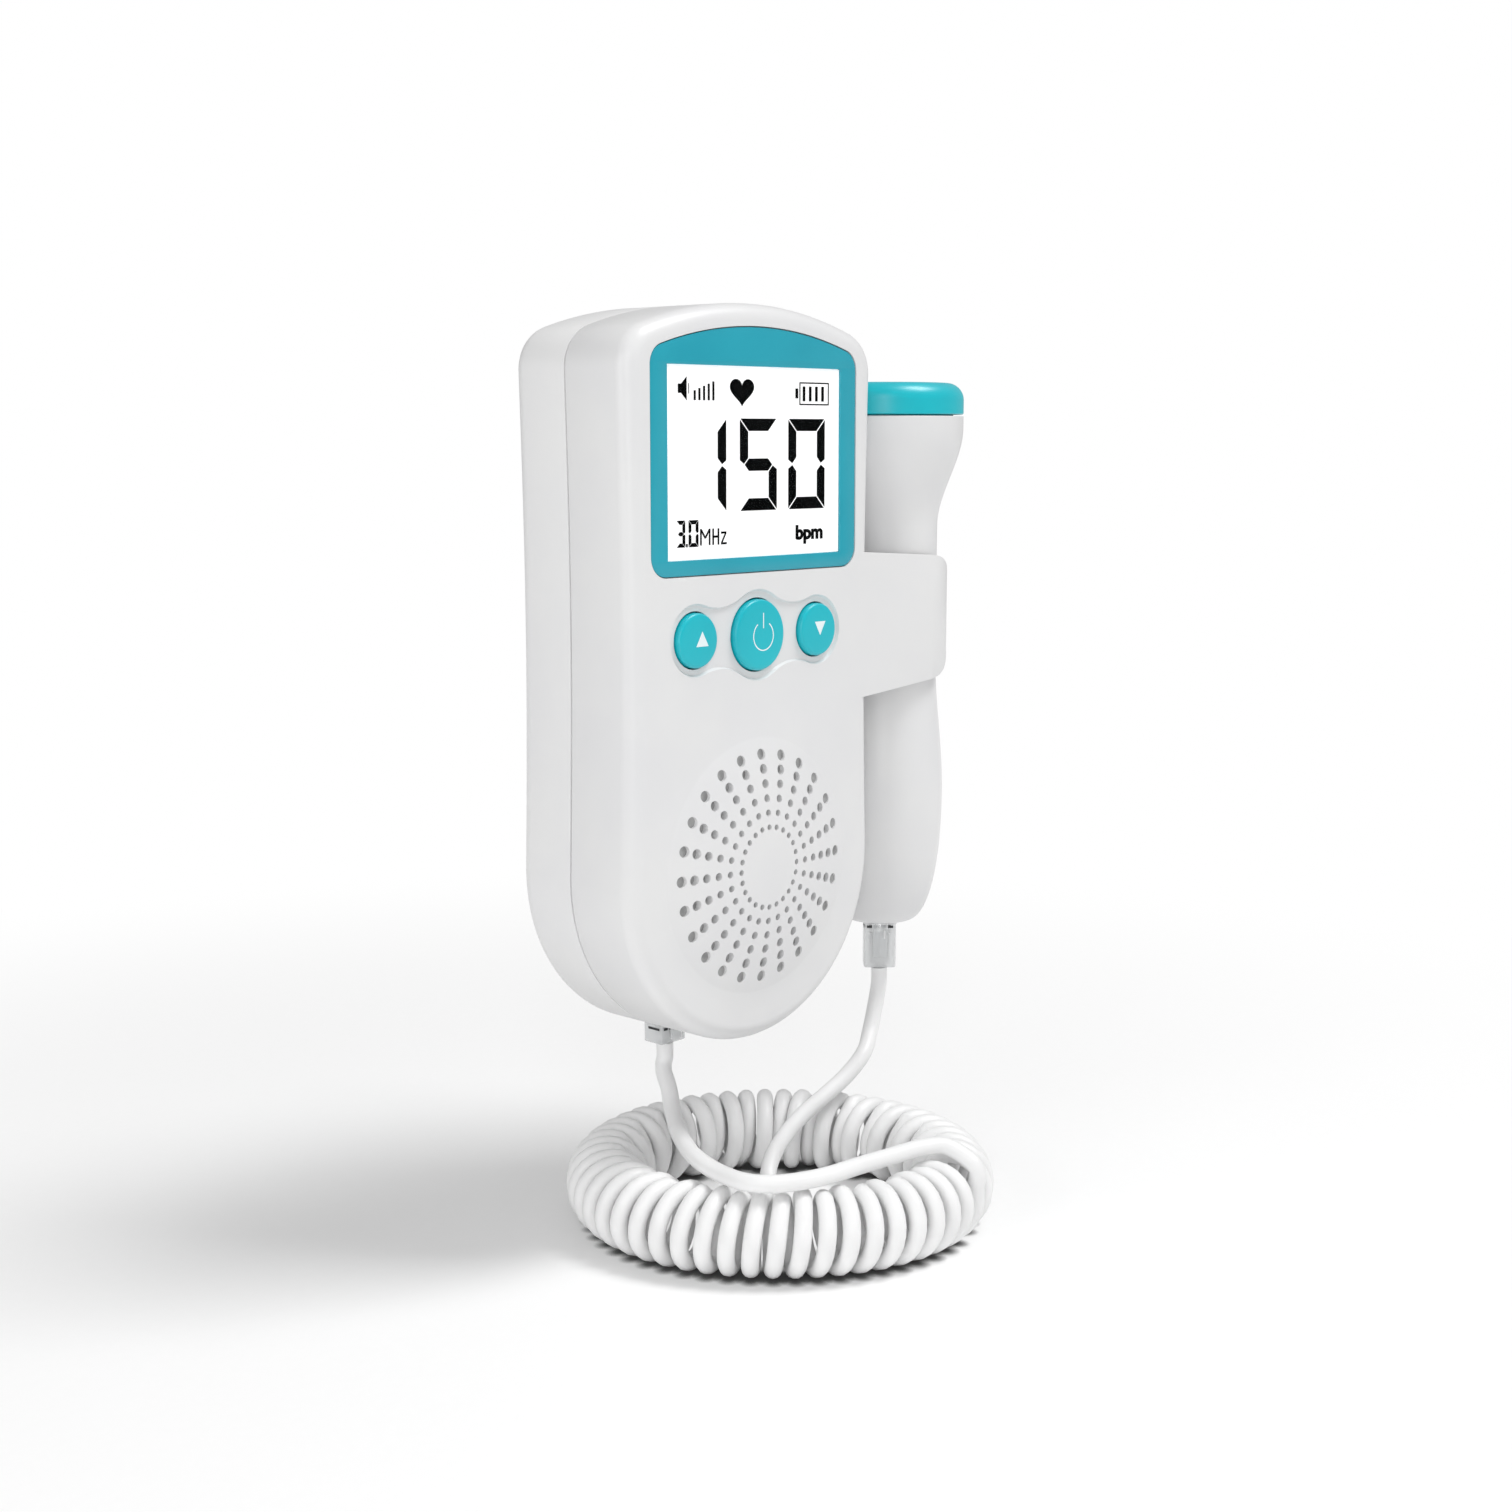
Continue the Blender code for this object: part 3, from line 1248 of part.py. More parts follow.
def coil_points():
    """The curls: a helix bent round a ring that is a little flattened from front to back.

    The turns start outermost, where the unit's lead comes down, and run downwards and inwards,
    to end at the floor. Where neighbours would touch, each second turn is drawn in.
    """
    count = COIL_TURNS * COIL_POINTS_PER_TURN + COIL_POINTS_PER_TURN // 4
    closeness = CORD_DIAMETER + CURL_LEAST_GAP
    middle = FLOOR_HEIGHT + CORD_DIAMETER / 2 + CURL_RADIUS
    around = COIL_START
    points = []
    for i in range(count + 1):
        turn = i / COIL_POINTS_PER_TURN
        ring = RING_RADIUS * (1 - RING_FLATTENING * math.cos(around - COIL_FRONT) ** 2)
        curl = -2 * math.pi * turn
        reach = ring + CURL_RADIUS * math.cos(curl)
        drawn_in = math.sqrt(max(0.0, closeness**2 - (COIL_STEP * reach) ** 2))
        radius = CURL_RADIUS - (drawn_in if int(turn) % 2 else 0.0)
        reach = ring + radius * math.cos(curl)
        x = RING_CENTRE_X + reach * math.cos(around)
        y = RING_CENTRE_Y + reach * math.sin(around)
        points.append(Vector((x, y, middle + radius * math.sin(curl))))
        around -= COIL_STEP / COIL_POINTS_PER_TURN
    start = points[0] + Vector((0, 0, CORD_DIAMETER))
    inward = Vector((RING_CENTRE_X, RING_CENTRE_Y, points[-1].z)) - points[-1]
    end = points[-1] + inward.normalized() * CORD_DIAMETER
    return [start] + points + [end]


def least_gap(points):
    """Least gap between the coil and itself, half a turn or more along, measured on its line."""
    line = []
    for first, second in zip(points, points[1:]):
        line += [first.lerp(second, share) for share in (0.0, 0.25, 0.5, 0.75)]
    half_turn = 4 * COIL_POINTS_PER_TURN // 2
    least = min(
        (here - there).length for i, here in enumerate(line) for there in line[i + half_turn :]
    )
    return least - CORD_DIAMETER


def smooth_line(points):
    """A Catmull-Rom curve through points."""
    line = []
    padded = [2 * points[0] - points[1]] + points + [2 * points[-1] - points[-2]]
    for a, b, c, d in zip(padded, padded[1:], padded[2:], padded[3:]):
        for i in range(LINE_SAMPLES):
            t = i / LINE_SAMPLES
            bend = (2 * a - 5 * b + 4 * c - d) * t**2 + (3 * b - a - 3 * c + d) * t**3
            line.append((2 * b + (c - a) * t + bend) / 2)
    return line + [points[-1]]


def evenly_spaced(line, spacing):
    """Points of a fine line, re-read at equal steps close to a spacing."""
    total = sum((b - a).length for a, b in zip(line, line[1:]))
    steps = max(2, round(total / spacing))
    chosen = [line[0]]
    walked = 0.0
    for a, b in zip(line, line[1:]):
        walked += (b - a).length
        if walked >= total * len(chosen) / steps and len(chosen) < steps:
            chosen.append(b)
    return chosen + [line[-1]]


def lead_points(start, start_way, route, end, end_way):
    """A lead's points: straight for a diameter at both ends, smooth through its route between."""
    points = [start, start + start_way * CORD_DIAMETER]
    points += [Vector(point) for point in route]
    points += [end + end_way * CORD_DIAMETER, end]
    line = smooth_line(points)
    return [start] + evenly_spaced(line[LINE_SAMPLES:-LINE_SAMPLES], CORD_POINT_SPACING) + [end]


def cord_piece(name, points, resolution):
    """A stretch of cord along its points; gives its length."""
    curve = bpy.data.curves.new(name, "CURVE")
    curve.dimensions = "3D"
    curve.bevel_depth = CORD_DIAMETER / 2
    curve.bevel_resolution = resolution
    curve.use_fill_caps = True
    spline = curve.splines.new("POLY")
    spline.points.add(len(points) - 1)
    for point, place in zip(spline.points, points):
        point.co = (*place, 1.0)
    keep(bpy.data.objects.new(name, curve), CORD_WHITE)
    return sum((b - a).length for a, b in zip(points, points[1:]))


def build_cord():
    coil = coil_points()
    length = cord_piece("cord_coil", coil, 1)
    print("coil: least gap to itself %.2f mm, length %.0f mm" % (least_gap(coil) / MM, length / MM))

    down = Vector((0, 0, -1))
    unit_exit = Vector((0, at_depth(UNIT_JACK_DEPTH), -BODY_HEIGHT / 2 - UNIT_PLUG_STANDS_OUT - GAP))
    lead = lead_points(unit_exit, down, UNIT_LEAD_ROUTE, coil[0] - down * GAP, -down)
    length = cord_piece("cord_unit_lead", lead, 2)
    print("unit lead: length %.0f mm" % (length / MM))

    x, y = probe_axis()
    probe_exit = Vector((x, y, PROBE_BOTTOM - PROBE_PLUG_STANDS_OUT - GAP))
    way = (coil[-1] - coil[-2]).normalized()
    lead = lead_points(probe_exit, down, PROBE_LEAD_ROUTE, coil[-1] + way * GAP, way)
    length = cord_piece("cord_probe_lead", lead, 2)
    print("probe lead: length %.0f mm" % (length / MM))


def build():
    clear_scene()
    build_front_shell()
    build_rear_shell()
    build_battery_cover()
    build_display()
    build_buttons()
    build_board()
    build_switches()
    build_speaker()
    build_cells()
    build_contacts()
    build_screws()
    build_unit_plug_and_jack()
    build_probe_housing()
    build_probe_cap()
    build_probe_inside()
    build_probe_plug_and_jack()
    build_cord()


build()
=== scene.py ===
# %% [markdown]
# A hand-held fetal doppler, dressed for a photograph.
#
# The imported CAD model is the frame. This script puts finer pieces and real finishes on it: the
# white casing, the display, the teal buttons, the probe in its clip and the curly cord. Sizes are
# in metres, at the model's own scale, and every piece but the probe's lead rides on a body of the model.

# %% Load the frame
import json
from contextlib import contextmanager
from math import asin, atan2, cos, dist, pi, radians, sin, sqrt

import bmesh
import bpy
from mathutils import Matrix, Vector


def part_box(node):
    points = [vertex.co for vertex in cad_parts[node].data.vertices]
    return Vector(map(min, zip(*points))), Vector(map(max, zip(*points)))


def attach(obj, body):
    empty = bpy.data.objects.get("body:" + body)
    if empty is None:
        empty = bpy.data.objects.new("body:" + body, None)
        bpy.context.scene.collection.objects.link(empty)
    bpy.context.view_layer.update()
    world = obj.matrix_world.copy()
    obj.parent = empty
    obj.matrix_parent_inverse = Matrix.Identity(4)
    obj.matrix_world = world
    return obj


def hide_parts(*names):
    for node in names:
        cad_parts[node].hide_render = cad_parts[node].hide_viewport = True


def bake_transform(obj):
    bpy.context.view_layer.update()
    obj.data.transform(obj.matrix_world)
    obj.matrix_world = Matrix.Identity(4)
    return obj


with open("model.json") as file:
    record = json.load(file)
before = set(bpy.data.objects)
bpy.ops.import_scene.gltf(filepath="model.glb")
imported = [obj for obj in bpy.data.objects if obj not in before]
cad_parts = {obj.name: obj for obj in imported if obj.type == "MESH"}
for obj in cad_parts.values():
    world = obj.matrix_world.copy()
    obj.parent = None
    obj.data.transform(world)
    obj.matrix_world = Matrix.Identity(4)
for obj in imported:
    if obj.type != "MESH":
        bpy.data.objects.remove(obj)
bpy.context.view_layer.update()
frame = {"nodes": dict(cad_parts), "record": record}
nodes = frame["nodes"]
scene = bpy.context.scene
MM = 0.001

def mm(*values):
    """Millimetres as metres."""
    return tuple(value * MM for value in values)

# %% [markdown]
# The camera stands to the left of the unit and a little above it, close enough for the side to
# run away in perspective. A long lens further off would flatten the casing's depth.

# %% Camera
DEGREE = radians(1)
lens_view = bpy.data.cameras.new("studio_camera")
lens_view.lens = 52.38
lens_view.sensor_width = 36.0
lens_view.clip_start = 10 * MM
lens_view.clip_end = 10.0
camera = bpy.data.objects.new("studio_camera", lens_view)
camera.location = mm(-292.6, -301.8, 44.3)
camera.rotation_euler = ((90 - 8.31833) * DEGREE, 0, -47.0555 * DEGREE)
scene.collection.objects.link(camera)
scene.camera = camera
scene.view_settings.view_transform = "Standard"
print("camera at", [round(value, 3) for value in camera.location])

# %% [markdown]
# Colours are written as sRGB hex values, as a paint chart gives them, and shaders need linear
# light, so one function converts them. The others add shader nodes, set them and wire them in one
# line each, which keeps every finish short enough to read.

# %% Colour and node helpers
def linear(code):
    """An sRGB hex colour such as #E2E2E2 as linear red, green, blue and a full alpha."""
    shares = [int(code[i:i + 2], 16) / 255 for i in (1, 3, 5)]
    return (*[s / 12.92 if s <= 0.04045 else ((s + 0.055) / 1.055) ** 2.4 for s in shares], 1.0)

def feed(tree, node, inputs):
    """Sets each input of a node to a value, or links it to another node's output."""
    for name, value in inputs.items():
        if isinstance(value, bpy.types.NodeSocket):
            tree.links.new(value, node.inputs[name])
        else:
            node.inputs[name].default_value = value

def add_node(tree, kind, inputs=None, **settings):
    node = tree.nodes.new("ShaderNode" + kind)
    for name, value in settings.items():
        setattr(node, name, value)
    feed(tree, node, inputs or {})
    return node

def noise(tree, place, size, detail=2.0):
    """Noise from 0 to 1 with grains of about the given size."""
    node = add_node(tree, "TexNoise", {"Vector": place, "Scale": 1 / size, "Detail": detail})
    return node.outputs["Fac"]

def spread(tree, value, low, high, start=0.0, end=1.0, **settings):
    """Runs from low to high while the value runs from start to end."""
    node = add_node(tree, "MapRange", {"Value": value, "From Min": start, "From Max": end,
                                       "To Min": low, "To Max": high}, **settings)
    return node.outputs["Result"]

def combined(tree, operation, first, second):
    return add_node(tree, "Math", {0: first, 1: second}, operation=operation).outputs["Value"]

def new_tree(owner):
    """The emptied node tree of a material or world."""
    owner.use_nodes = True
    owner.node_tree.nodes.clear()
    return owner.node_tree

def new_finish(name):
    """An empty node material: its tree, its shader and the object's own coordinates in metres."""
    made = bpy.data.materials.new(name)
    tree = new_tree(made)
    shader = add_node(tree, "BsdfPrincipled")
    add_node(tree, "OutputMaterial", {"Surface": shader.outputs["BSDF"]})
    return made, tree, shader, add_node(tree, "TexCoord").outputs["Object"]

# %% [markdown]
# Most pieces here are moulded plastic. The mould's surface is spark-eroded, which leaves a fine
# grain of about 0.3 mm that breaks up the gloss. The resin also varies a little in tone over some
# centimetres. Both come from noise textures whose scale is one over the real size.

# %% Moulded plastic finish
def moulded(name, body, shade, roughness, grain=0.3 * MM, depth=0.012 * MM, ior=1.54, drift=18 * MM):
    """Injection-moulded plastic: a tone that drifts from body to shade, and an eroded grain."""
    made, tree, shader, place = new_finish(name)
    tone = add_node(tree, "ValToRGB", {"Fac": noise(tree, place, drift, 3.0)})
    for stop, position, color in zip(tone.color_ramp.elements, (0.35, 0.65), (shade, body)):
        stop.position, stop.color = position, linear(color)
    pits = noise(tree, place, grain)
    relief = add_node(tree, "Bump", {"Height": pits, "Distance": depth, "Strength": 0.6})
    feed(tree, shader, {
        "Base Color": tone.outputs["Color"], "Normal": relief.outputs["Normal"], "IOR": ior,
        "Roughness": spread(tree, pits, roughness - 0.05, roughness + 0.05, 0.3, 0.7)})
    return made

WHITE_ABS = moulded("white_ABS_satin_moulded", "#E2E2E2", "#DFDFE0", 0.36)
TEAL_ABS = moulded("teal_ABS_gloss_moulded", "#02BAC7", "#02B4C2", 0.34, grain=0.2 * MM, depth=0.006 * MM)
BEZEL_ABS = moulded("teal_ABS_bezel_moulded", "#1AA1B4", "#129AAE", 0.34, grain=0.2 * MM,
                    depth=0.006 * MM)
CORD_PVC = moulded("white_PVC_extruded", "#F1F1F1", "#ECECEC", 0.42, grain=0.5 * MM,
                   depth=0.02 * MM, ior=1.53, drift=9 * MM)
DARK_ABS = moulded("black_ABS_moulded", "#2A2B2D", "#242527", 0.5)
print("moulded finishes:", WHITE_ABS.name, TEAL_ABS.name, BEZEL_ABS.name, CORD_PVC.name)

# %% [markdown]
# The cord comes first among the pieces, because it has a real length that the model has to hold.
# It is a handset cord: 3.3 mm PVC over four cores, straight where it leaves each plug and wound on
# a mandrel between. The curls form a closed ring on the floor. The ring is a helix bent round a
# circle that is a little flattened from front to back. Each second turn is drawn in on the inner
# side, where neighbours would otherwise cut into each other.

# %% Cord sizes and routes
CORD_DIAMETER = 3.3 * MM
FLOOR = -105.4 * MM
RING_CENTRE = Vector(mm(9.0, -27.35))
RING_RADIUS, RING_FLATTENING = 33.0 * MM, 0.09
CURL_RADIUS = 6.45 * MM
COIL_TURNS, COIL_STEP = 50, 7.0 * DEGREE
CURL_POINTS = 24
UNIT_EXIT = Vector((0.0, -5.2, -72.8)) * MM
PROBE_EXIT = Vector((51.0, -16.9, -65.0)) * MM
DOWN = Vector((0, 0, -1))
CURL_GAP = 0.4 * MM
COIL_START, RING_TILT = -68.5 * DEGREE, 137 * DEGREE
UNIT_ROUTE = [
    (-0.9, -5.6, -78.0), (-2.7, -9.0, -80.9), (-5.7, -13.0, -83.7), (-10.1, -19.0, -85.7),
    (-15.5, -28.0, -86.6), (-17.9, -35.8, -87.2), (-18.8, -43.5, -87.2), (-16.6, -48.2, -87.2),
    (-11.6, -51.2, -87.2), (-5.4, -52.8, -87.2), (2.3, -53.4, -87.2), (10.0, -54.3, -87.2),
    (17.0, -55.4, -87.1), (21.6, -58.2, -87.3),
]
PROBE_ROUTE = [
    (49.9, -17.0, -72.4), (46.6, -18.2, -77.9), (42.2, -20.4, -80.8), (37.4, -20.2, -84.4),
    (31.2, -19.4, -87.7), (25.4, -18.2, -91.0), (20.5, -17.7, -94.6), (16.8, -18.0, -98.0),
    (13.6, -20.2, -101.0), (11.6, -25.6, -103.2), (12.0, -32.5, -103.7), (14.8, -39.0, -103.7),
    (18.6, -44.6, -103.7),
]

def length_of(line):
    return sum((b - a).length for a, b in zip(line, line[1:]))

def coil_line():
    """Points along the curls, from their top at the unit's lead to their foot on the floor."""
    closeness = CORD_DIAMETER + CURL_GAP
    middle = FLOOR + CORD_DIAMETER / 2 + CURL_RADIUS
    around = COIL_START
    points = []
    for i in range(COIL_TURNS * CURL_POINTS + CURL_POINTS // 4 + 1):
        turn = i / CURL_POINTS
        ring = RING_RADIUS * (1 - RING_FLATTENING * cos(around + RING_TILT) ** 2)
        curl = -2 * pi * turn
        reach = ring + CURL_RADIUS * cos(curl)
        drawn_in = sqrt(max(0.0, closeness**2 - (COIL_STEP * reach) ** 2))
        radius = CURL_RADIUS - (drawn_in if int(turn) % 2 else 0.0)
        reach = ring + radius * cos(curl)
        points.append(Vector((
            RING_CENTRE.x + reach * cos(around),
            RING_CENTRE.y + reach * sin(around),
            middle + radius * sin(curl),
        )))
        around -= COIL_STEP / CURL_POINTS
    inward = (Vector((*RING_CENTRE, points[-1].z)) - points[-1]).normalized()
    return [points[0] - DOWN * CORD_DIAMETER] + points + [points[-1] + inward * CORD_DIAMETER]

coil = coil_line()
print("coil: %d points, %.0f mm" % (len(coil), length_of(coil) / MM))

# %% [markdown]
# Between the listed points, a lead follows a Catmull-Rom curve. It passes through each
# point, as a cord lies on what it touches, and has no corners. It is then read again at even
# steps, because uneven points make a tube pinch.

# %% Smooth routes
def smooth(points, samples=24):
    """A Catmull-Rom curve through points."""
    line = []
    padded = [2 * points[0] - points[1]] + points + [2 * points[-1] - points[-2]]
    for a, b, c, d in zip(padded, padded[1:], padded[2:], padded[3:]):
        for i in range(samples):
            t = i / samples
            bend = (2 * a - 5 * b + 4 * c - d) * t**2 + (3 * b - a - 3 * c + d) * t**3
            line.append((2 * b + (c - a) * t + bend) / 2)
    return line + [points[-1]]

def even(line, spacing):
    """The same line with points at equal steps."""
    total = length_of(line)
    steps = max(2, round(total / spacing))
    chosen, walked = [line[0]], 0.0
    for a, b in zip(line, line[1:]):
        walked += (b - a).length
        if walked >= total * len(chosen) / steps and len(chosen) < steps:
            chosen.append(b)
    return chosen + [line[-1]]

def lead_line(start, route, end, end_way):
    """A lead's points: straight out of its plug, along its route and straight into its end."""
    points = [start, start + DOWN * CORD_DIAMETER] + [Vector(point) * MM for point in route]
    return even(smooth(points + [end + end_way * CORD_DIAMETER, end]), 1.5 * MM)

unit_lead = lead_line(UNIT_EXIT, UNIT_ROUTE, coil[0] - DOWN * 0.3 * MM, -DOWN)
foot_way = (coil[-1] - coil[-2]).normalized()
probe_lead = lead_line(PROBE_EXIT, PROBE_ROUTE, coil[-1] + foot_way * 0.1 * MM, foot_way)
print("leads: %d and %d points" % (len(unit_lead), len(probe_lead)))

# %% [markdown]
# The unit's lead and the curls are one tube on one curve, because the real cord has no joint there.
# The probe's lead has to follow the probe when it is taken from the clip. Here it is a plain mesh
# tube that rides on no body.

# %% The cord
def new_piece(name, data):
    piece = bpy.data.objects.new(name, data)
    scene.collection.objects.link(piece)
    return piece

def add_line(curve, points, closed=False):
    """Adds a line through points to a curve."""
    spline = curve.splines.new("POLY")
    spline.points.add(len(points) - 1)
    for point, place in zip(spline.points, points):
        point.co = (*place, 1.0)
    spline.use_cyclic_u = closed
    return spline

def curve_tube(name, points, radius):
    """A round tube on one open curve."""
    curve = bpy.data.curves.new(name, "CURVE")
    curve.dimensions, curve.use_fill_caps = "3D", True
    curve.bevel_depth, curve.bevel_resolution = radius, 5
    add_line(curve, points).use_smooth = True
    return new_piece(name, curve)

def settled(piece, name=None):
    """The piece with its modifiers or curve turned into a plain mesh, in the row frame."""
    bpy.context.view_layer.update()
    graph = bpy.context.evaluated_depsgraph_get()
    mesh = bpy.data.meshes.new_from_object(piece.evaluated_get(graph))
    mesh.transform(piece.matrix_world)
    name = name or piece.name
    bpy.data.objects.remove(piece, do_unlink=True)
    return new_piece(name, mesh)

def dress(piece, finish, body, slot, *stood_for):
    """Gives a piece its finish and its body, and hides the CAD nodes that it stands for. The slot is not
    used.
    """
    piece.data.materials.clear()
    piece.data.materials.append(finish)
    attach(piece, body)
    if stood_for:
        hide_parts(*stood_for)
    return piece

curly_line = unit_lead[:-1] + coil
curly_cord = curve_tube("curly_cord", curly_line, CORD_DIAMETER / 2)
dress(curly_cord, CORD_PVC, "unit", "cord_white", "cord_unit_lead", "cord_coil")

probe_cord = settled(curve_tube("probe_cord", probe_lead, CORD_DIAMETER / 2))
probe_cord.data.materials.append(CORD_PVC)
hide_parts("cord_probe_lead")
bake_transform(probe_cord)

# %% [markdown]
# The casing's parts are plates: a flat outline pushed back in depth, with its rim rounded. A 2D
# curve fills such an outline without leftover faces, and a bevel on the rim's edges gives the
# moulded radius. Turned parts, such as the probe, come from a profile swept about an axis.

# %% Plate and lathe helpers
DEPTH = 30.0
moved = Matrix.Translation
STANDING = Matrix.Rotation(pi / 2, 4, "X")
CUT, ADD = "DIFFERENCE", "UNION"
CRISP = 32 * DEGREE

def shaded(piece):
    """Smooth shading, with sharp edges kept crisp."""
    piece.data.shade_smooth()
    piece.data.set_sharp_from_angle(angle=CRISP)
    return piece

def behind(millimetres):
    """World Y of a plane that lies so far behind the unit's face."""
    return (millimetres - DEPTH) * MM

def mixed(first, second, share):
    return first + (second - first) * share

def arc(centre, radius, start, end, steps):
    angles = [start + (end - start) / steps * i for i in range(steps + 1)]
    return [(centre[0] + radius * cos(a), centre[1] + radius * sin(a)) for a in angles]

def weld(made):
    bmesh.ops.remove_doubles(made, verts=made.verts, dist=0.002 * MM)
    bmesh.ops.recalc_face_normals(made, faces=made.faces)

@contextmanager
def edited(piece):
    """The piece's mesh, open for editing; the changes go back into it at the end."""
    made = bmesh.new()
    made.from_mesh(piece.data)
    yield made
    made.to_mesh(piece.data)
    made.free()

def plate(name, loops, start, end, rims=(), upright=False):
    """Loops pushed from start to end along Y, or Z if upright; rims are (level, radius, steps)."""
    curve = bpy.data.curves.new(name, "CURVE")
    curve.dimensions, curve.fill_mode = "2D", "BOTH"
    curve.extrude = (end - start) / 2
    for loop in loops:
        add_line(curve, [(*point, 0.0) for point in loop], closed=True)
    maker = new_piece(name + "_outline", curve)
    middle = (start + end) / 2
    if upright:
        maker.matrix_world = moved((0, 0, middle))
    else:
        maker.matrix_world = moved((0, middle, 0)) @ STANDING
    piece = settled(maker, name)
    with edited(piece) as made:
        weld(made)
        bmesh.ops.dissolve_limit(made, angle_limit=0.002, verts=made.verts, edges=made.edges)
        for level, radius, steps in rims:
            rim = [edge for edge in made.edges
                   if all(abs(v.co.y - level) < 0.01 * MM for v in edge.verts)
                   and any(abs(face.normal.y) < 0.5 for face in edge.link_faces)]
            bmesh.ops.bevel(made, geom=rim, offset=radius, segments=steps, profile=0.5,
                            affect="EDGES", clamp_overlap=False)
    return shaded(piece)

def lathe(name, profile, place, along=(0, 0, 1), steps=96):
    """A profile of (radius, height) pairs down the outer side, turned about an axis at place."""
    mesh = bpy.data.meshes.new(name)
    points = [(radius, 0.0, height) for radius, height in profile]
    mesh.from_pydata(points, [(i, i + 1) for i in range(len(points) - 1)], [])
    maker = new_piece(name + "_profile", mesh)
    screw = maker.modifiers.new("Turn", "SCREW")
    screw.steps = screw.render_steps = steps
    screw.use_merge_vertices = True
    screw.merge_threshold = 0.002 * MM
    swing = Vector((0, 0, 1)).rotation_difference(Vector(along)).to_matrix().to_4x4()
    maker.matrix_world = moved(place) @ swing
    piece = settled(maker, name)
    with edited(piece) as made:
        weld(made)
    return shaded(piece)

def mesh_piece(name, made):
    """A piece from an edit mesh, which is used up."""
    mesh = bpy.data.meshes.new(name)
    made.to_mesh(mesh)
    made.free()
    return new_piece(name, mesh)

def rods(name, spots, start, end, steps=48):
    """Plain round rods along Y, for cutting; each spot is (x, z, radius)."""
    made = bmesh.new()
    for x, z, radius in spots:
        add_rod(made, radius, end - start, moved((x, (start + end) / 2, z)) @ STANDING, steps)
    return mesh_piece(name, made)

def add_rod(made, radius, length, spot, steps):
    bmesh.ops.create_cone(made, cap_ends=True, segments=steps, radius1=radius, radius2=radius,
                          depth=length, matrix=spot)

def block(name, low, high, edge=0.0, steps=3):
    """A box between two corners, with its edges rounded if asked."""
    made = bmesh.new()
    bmesh.ops.create_cube(made, size=1.0)
    bmesh.ops.scale(made, vec=[b - a for a, b in zip(low, high)], verts=made.verts)
    bmesh.ops.translate(made, vec=[(a + b) / 2 for a, b in zip(low, high)], verts=made.verts)
    if edge:
        bmesh.ops.bevel(made, geom=made.edges[:], offset=edge, segments=steps, profile=0.5,
                        affect="EDGES")
    return shaded(mesh_piece(name, made))

def slab(name, half, near, far, low, high):
    """A box as wide as twice half, between two depths behind the face and two heights, in mm."""
    return block(name, (-half * MM, behind(near), low * MM), (half * MM, behind(far), high * MM))

def together(name, pieces):
    """One mesh from several."""
    made = bmesh.new()
    for piece in pieces:
        made.from_mesh(piece.data)
        bpy.data.objects.remove(piece, do_unlink=True)
    return shaded(mesh_piece(name, made))

def carve(piece, steps):
    """Adds and cuts shapes in order; each step is (shape, ADD or CUT)."""
    for shape, operation in steps:
        cutter = piece.modifiers.new(shape.name, "BOOLEAN")
        cutter.operation, cutter.solver, cutter.object = operation, "EXACT", shape
    made = settled(piece)
    for shape, _ in steps:
        bpy.data.objects.remove(shape, do_unlink=True)
    return shaded(made)

def softened(piece, width, limit):
    """The piece with the edges that are sharper than a limit in degrees rounded."""
    soften = piece.modifiers.new("Soften", "BEVEL")
    soften.width, soften.segments, soften.limit_method = width, 2, "ANGLE"
    soften.angle_limit = radians(limit)
    return settled(piece)

print("helpers ready")

# %% [markdown]
# The casing's outline has a round foot, sides that draw in a little at the waist, rounded
# shoulders and a shallow arch on top. All plates of the unit share it, with an inset for walls.

# %% Outlines
def arched(half, low, low_radius, top, arch_radius, shoulder, waist=0.0):
    """A loop with a rounded foot, drawn-in sides and an arched top."""
    arch_z = top - arch_radius
    x = half - shoulder
    z = arch_z + sqrt((arch_radius - shoulder) ** 2 - x**2)
    lean = atan2(z - arch_z, x)
    right = arc((half - low_radius, low + low_radius), low_radius, -pi / 2, 0, 28)
    if waist:
        rise = z - low - low_radius
        right += [(half - waist * sin(pi * i / 24), low + low_radius + rise * i / 24)
                  for i in range(1, 24)]
    right += arc((x, z), shoulder, 0, lean, 12)
    right += arc((0, arch_z), arch_radius, lean, pi / 2, 16)[1:]
    loop = []
    for point in right + [(-a, b) for a, b in reversed(right)]:
        if not loop or dist(point, loop[-1]) > 0.005 * MM:
            loop.append(point)
    return loop[:-1] if dist(loop[0], loop[-1]) < 0.005 * MM else loop

def casing_loop(inset):
    half, top, arch_radius, shoulder = [size * MM - inset for size in (32.6, 67.5, 88.0, 8.0)]
    return arched(half, -top, half, top, arch_radius, shoulder, 0.8 * MM)

def bezel_loop(grow):
    half, corner, top, arch_radius = [size * MM + grow for size in (26.9, 3.6, 63.2, 83.7)]
    return arched(half, 19.7 * MM - grow, corner, top, arch_radius, corner)

def window_loop(grow):
    x, low, high = 22.8 * MM + grow, 22.4 * MM - grow, 56.3 * MM + grow
    return [(-x, low), (x, low), (x, high), (-x, high)]

ROW = 8.2 * MM

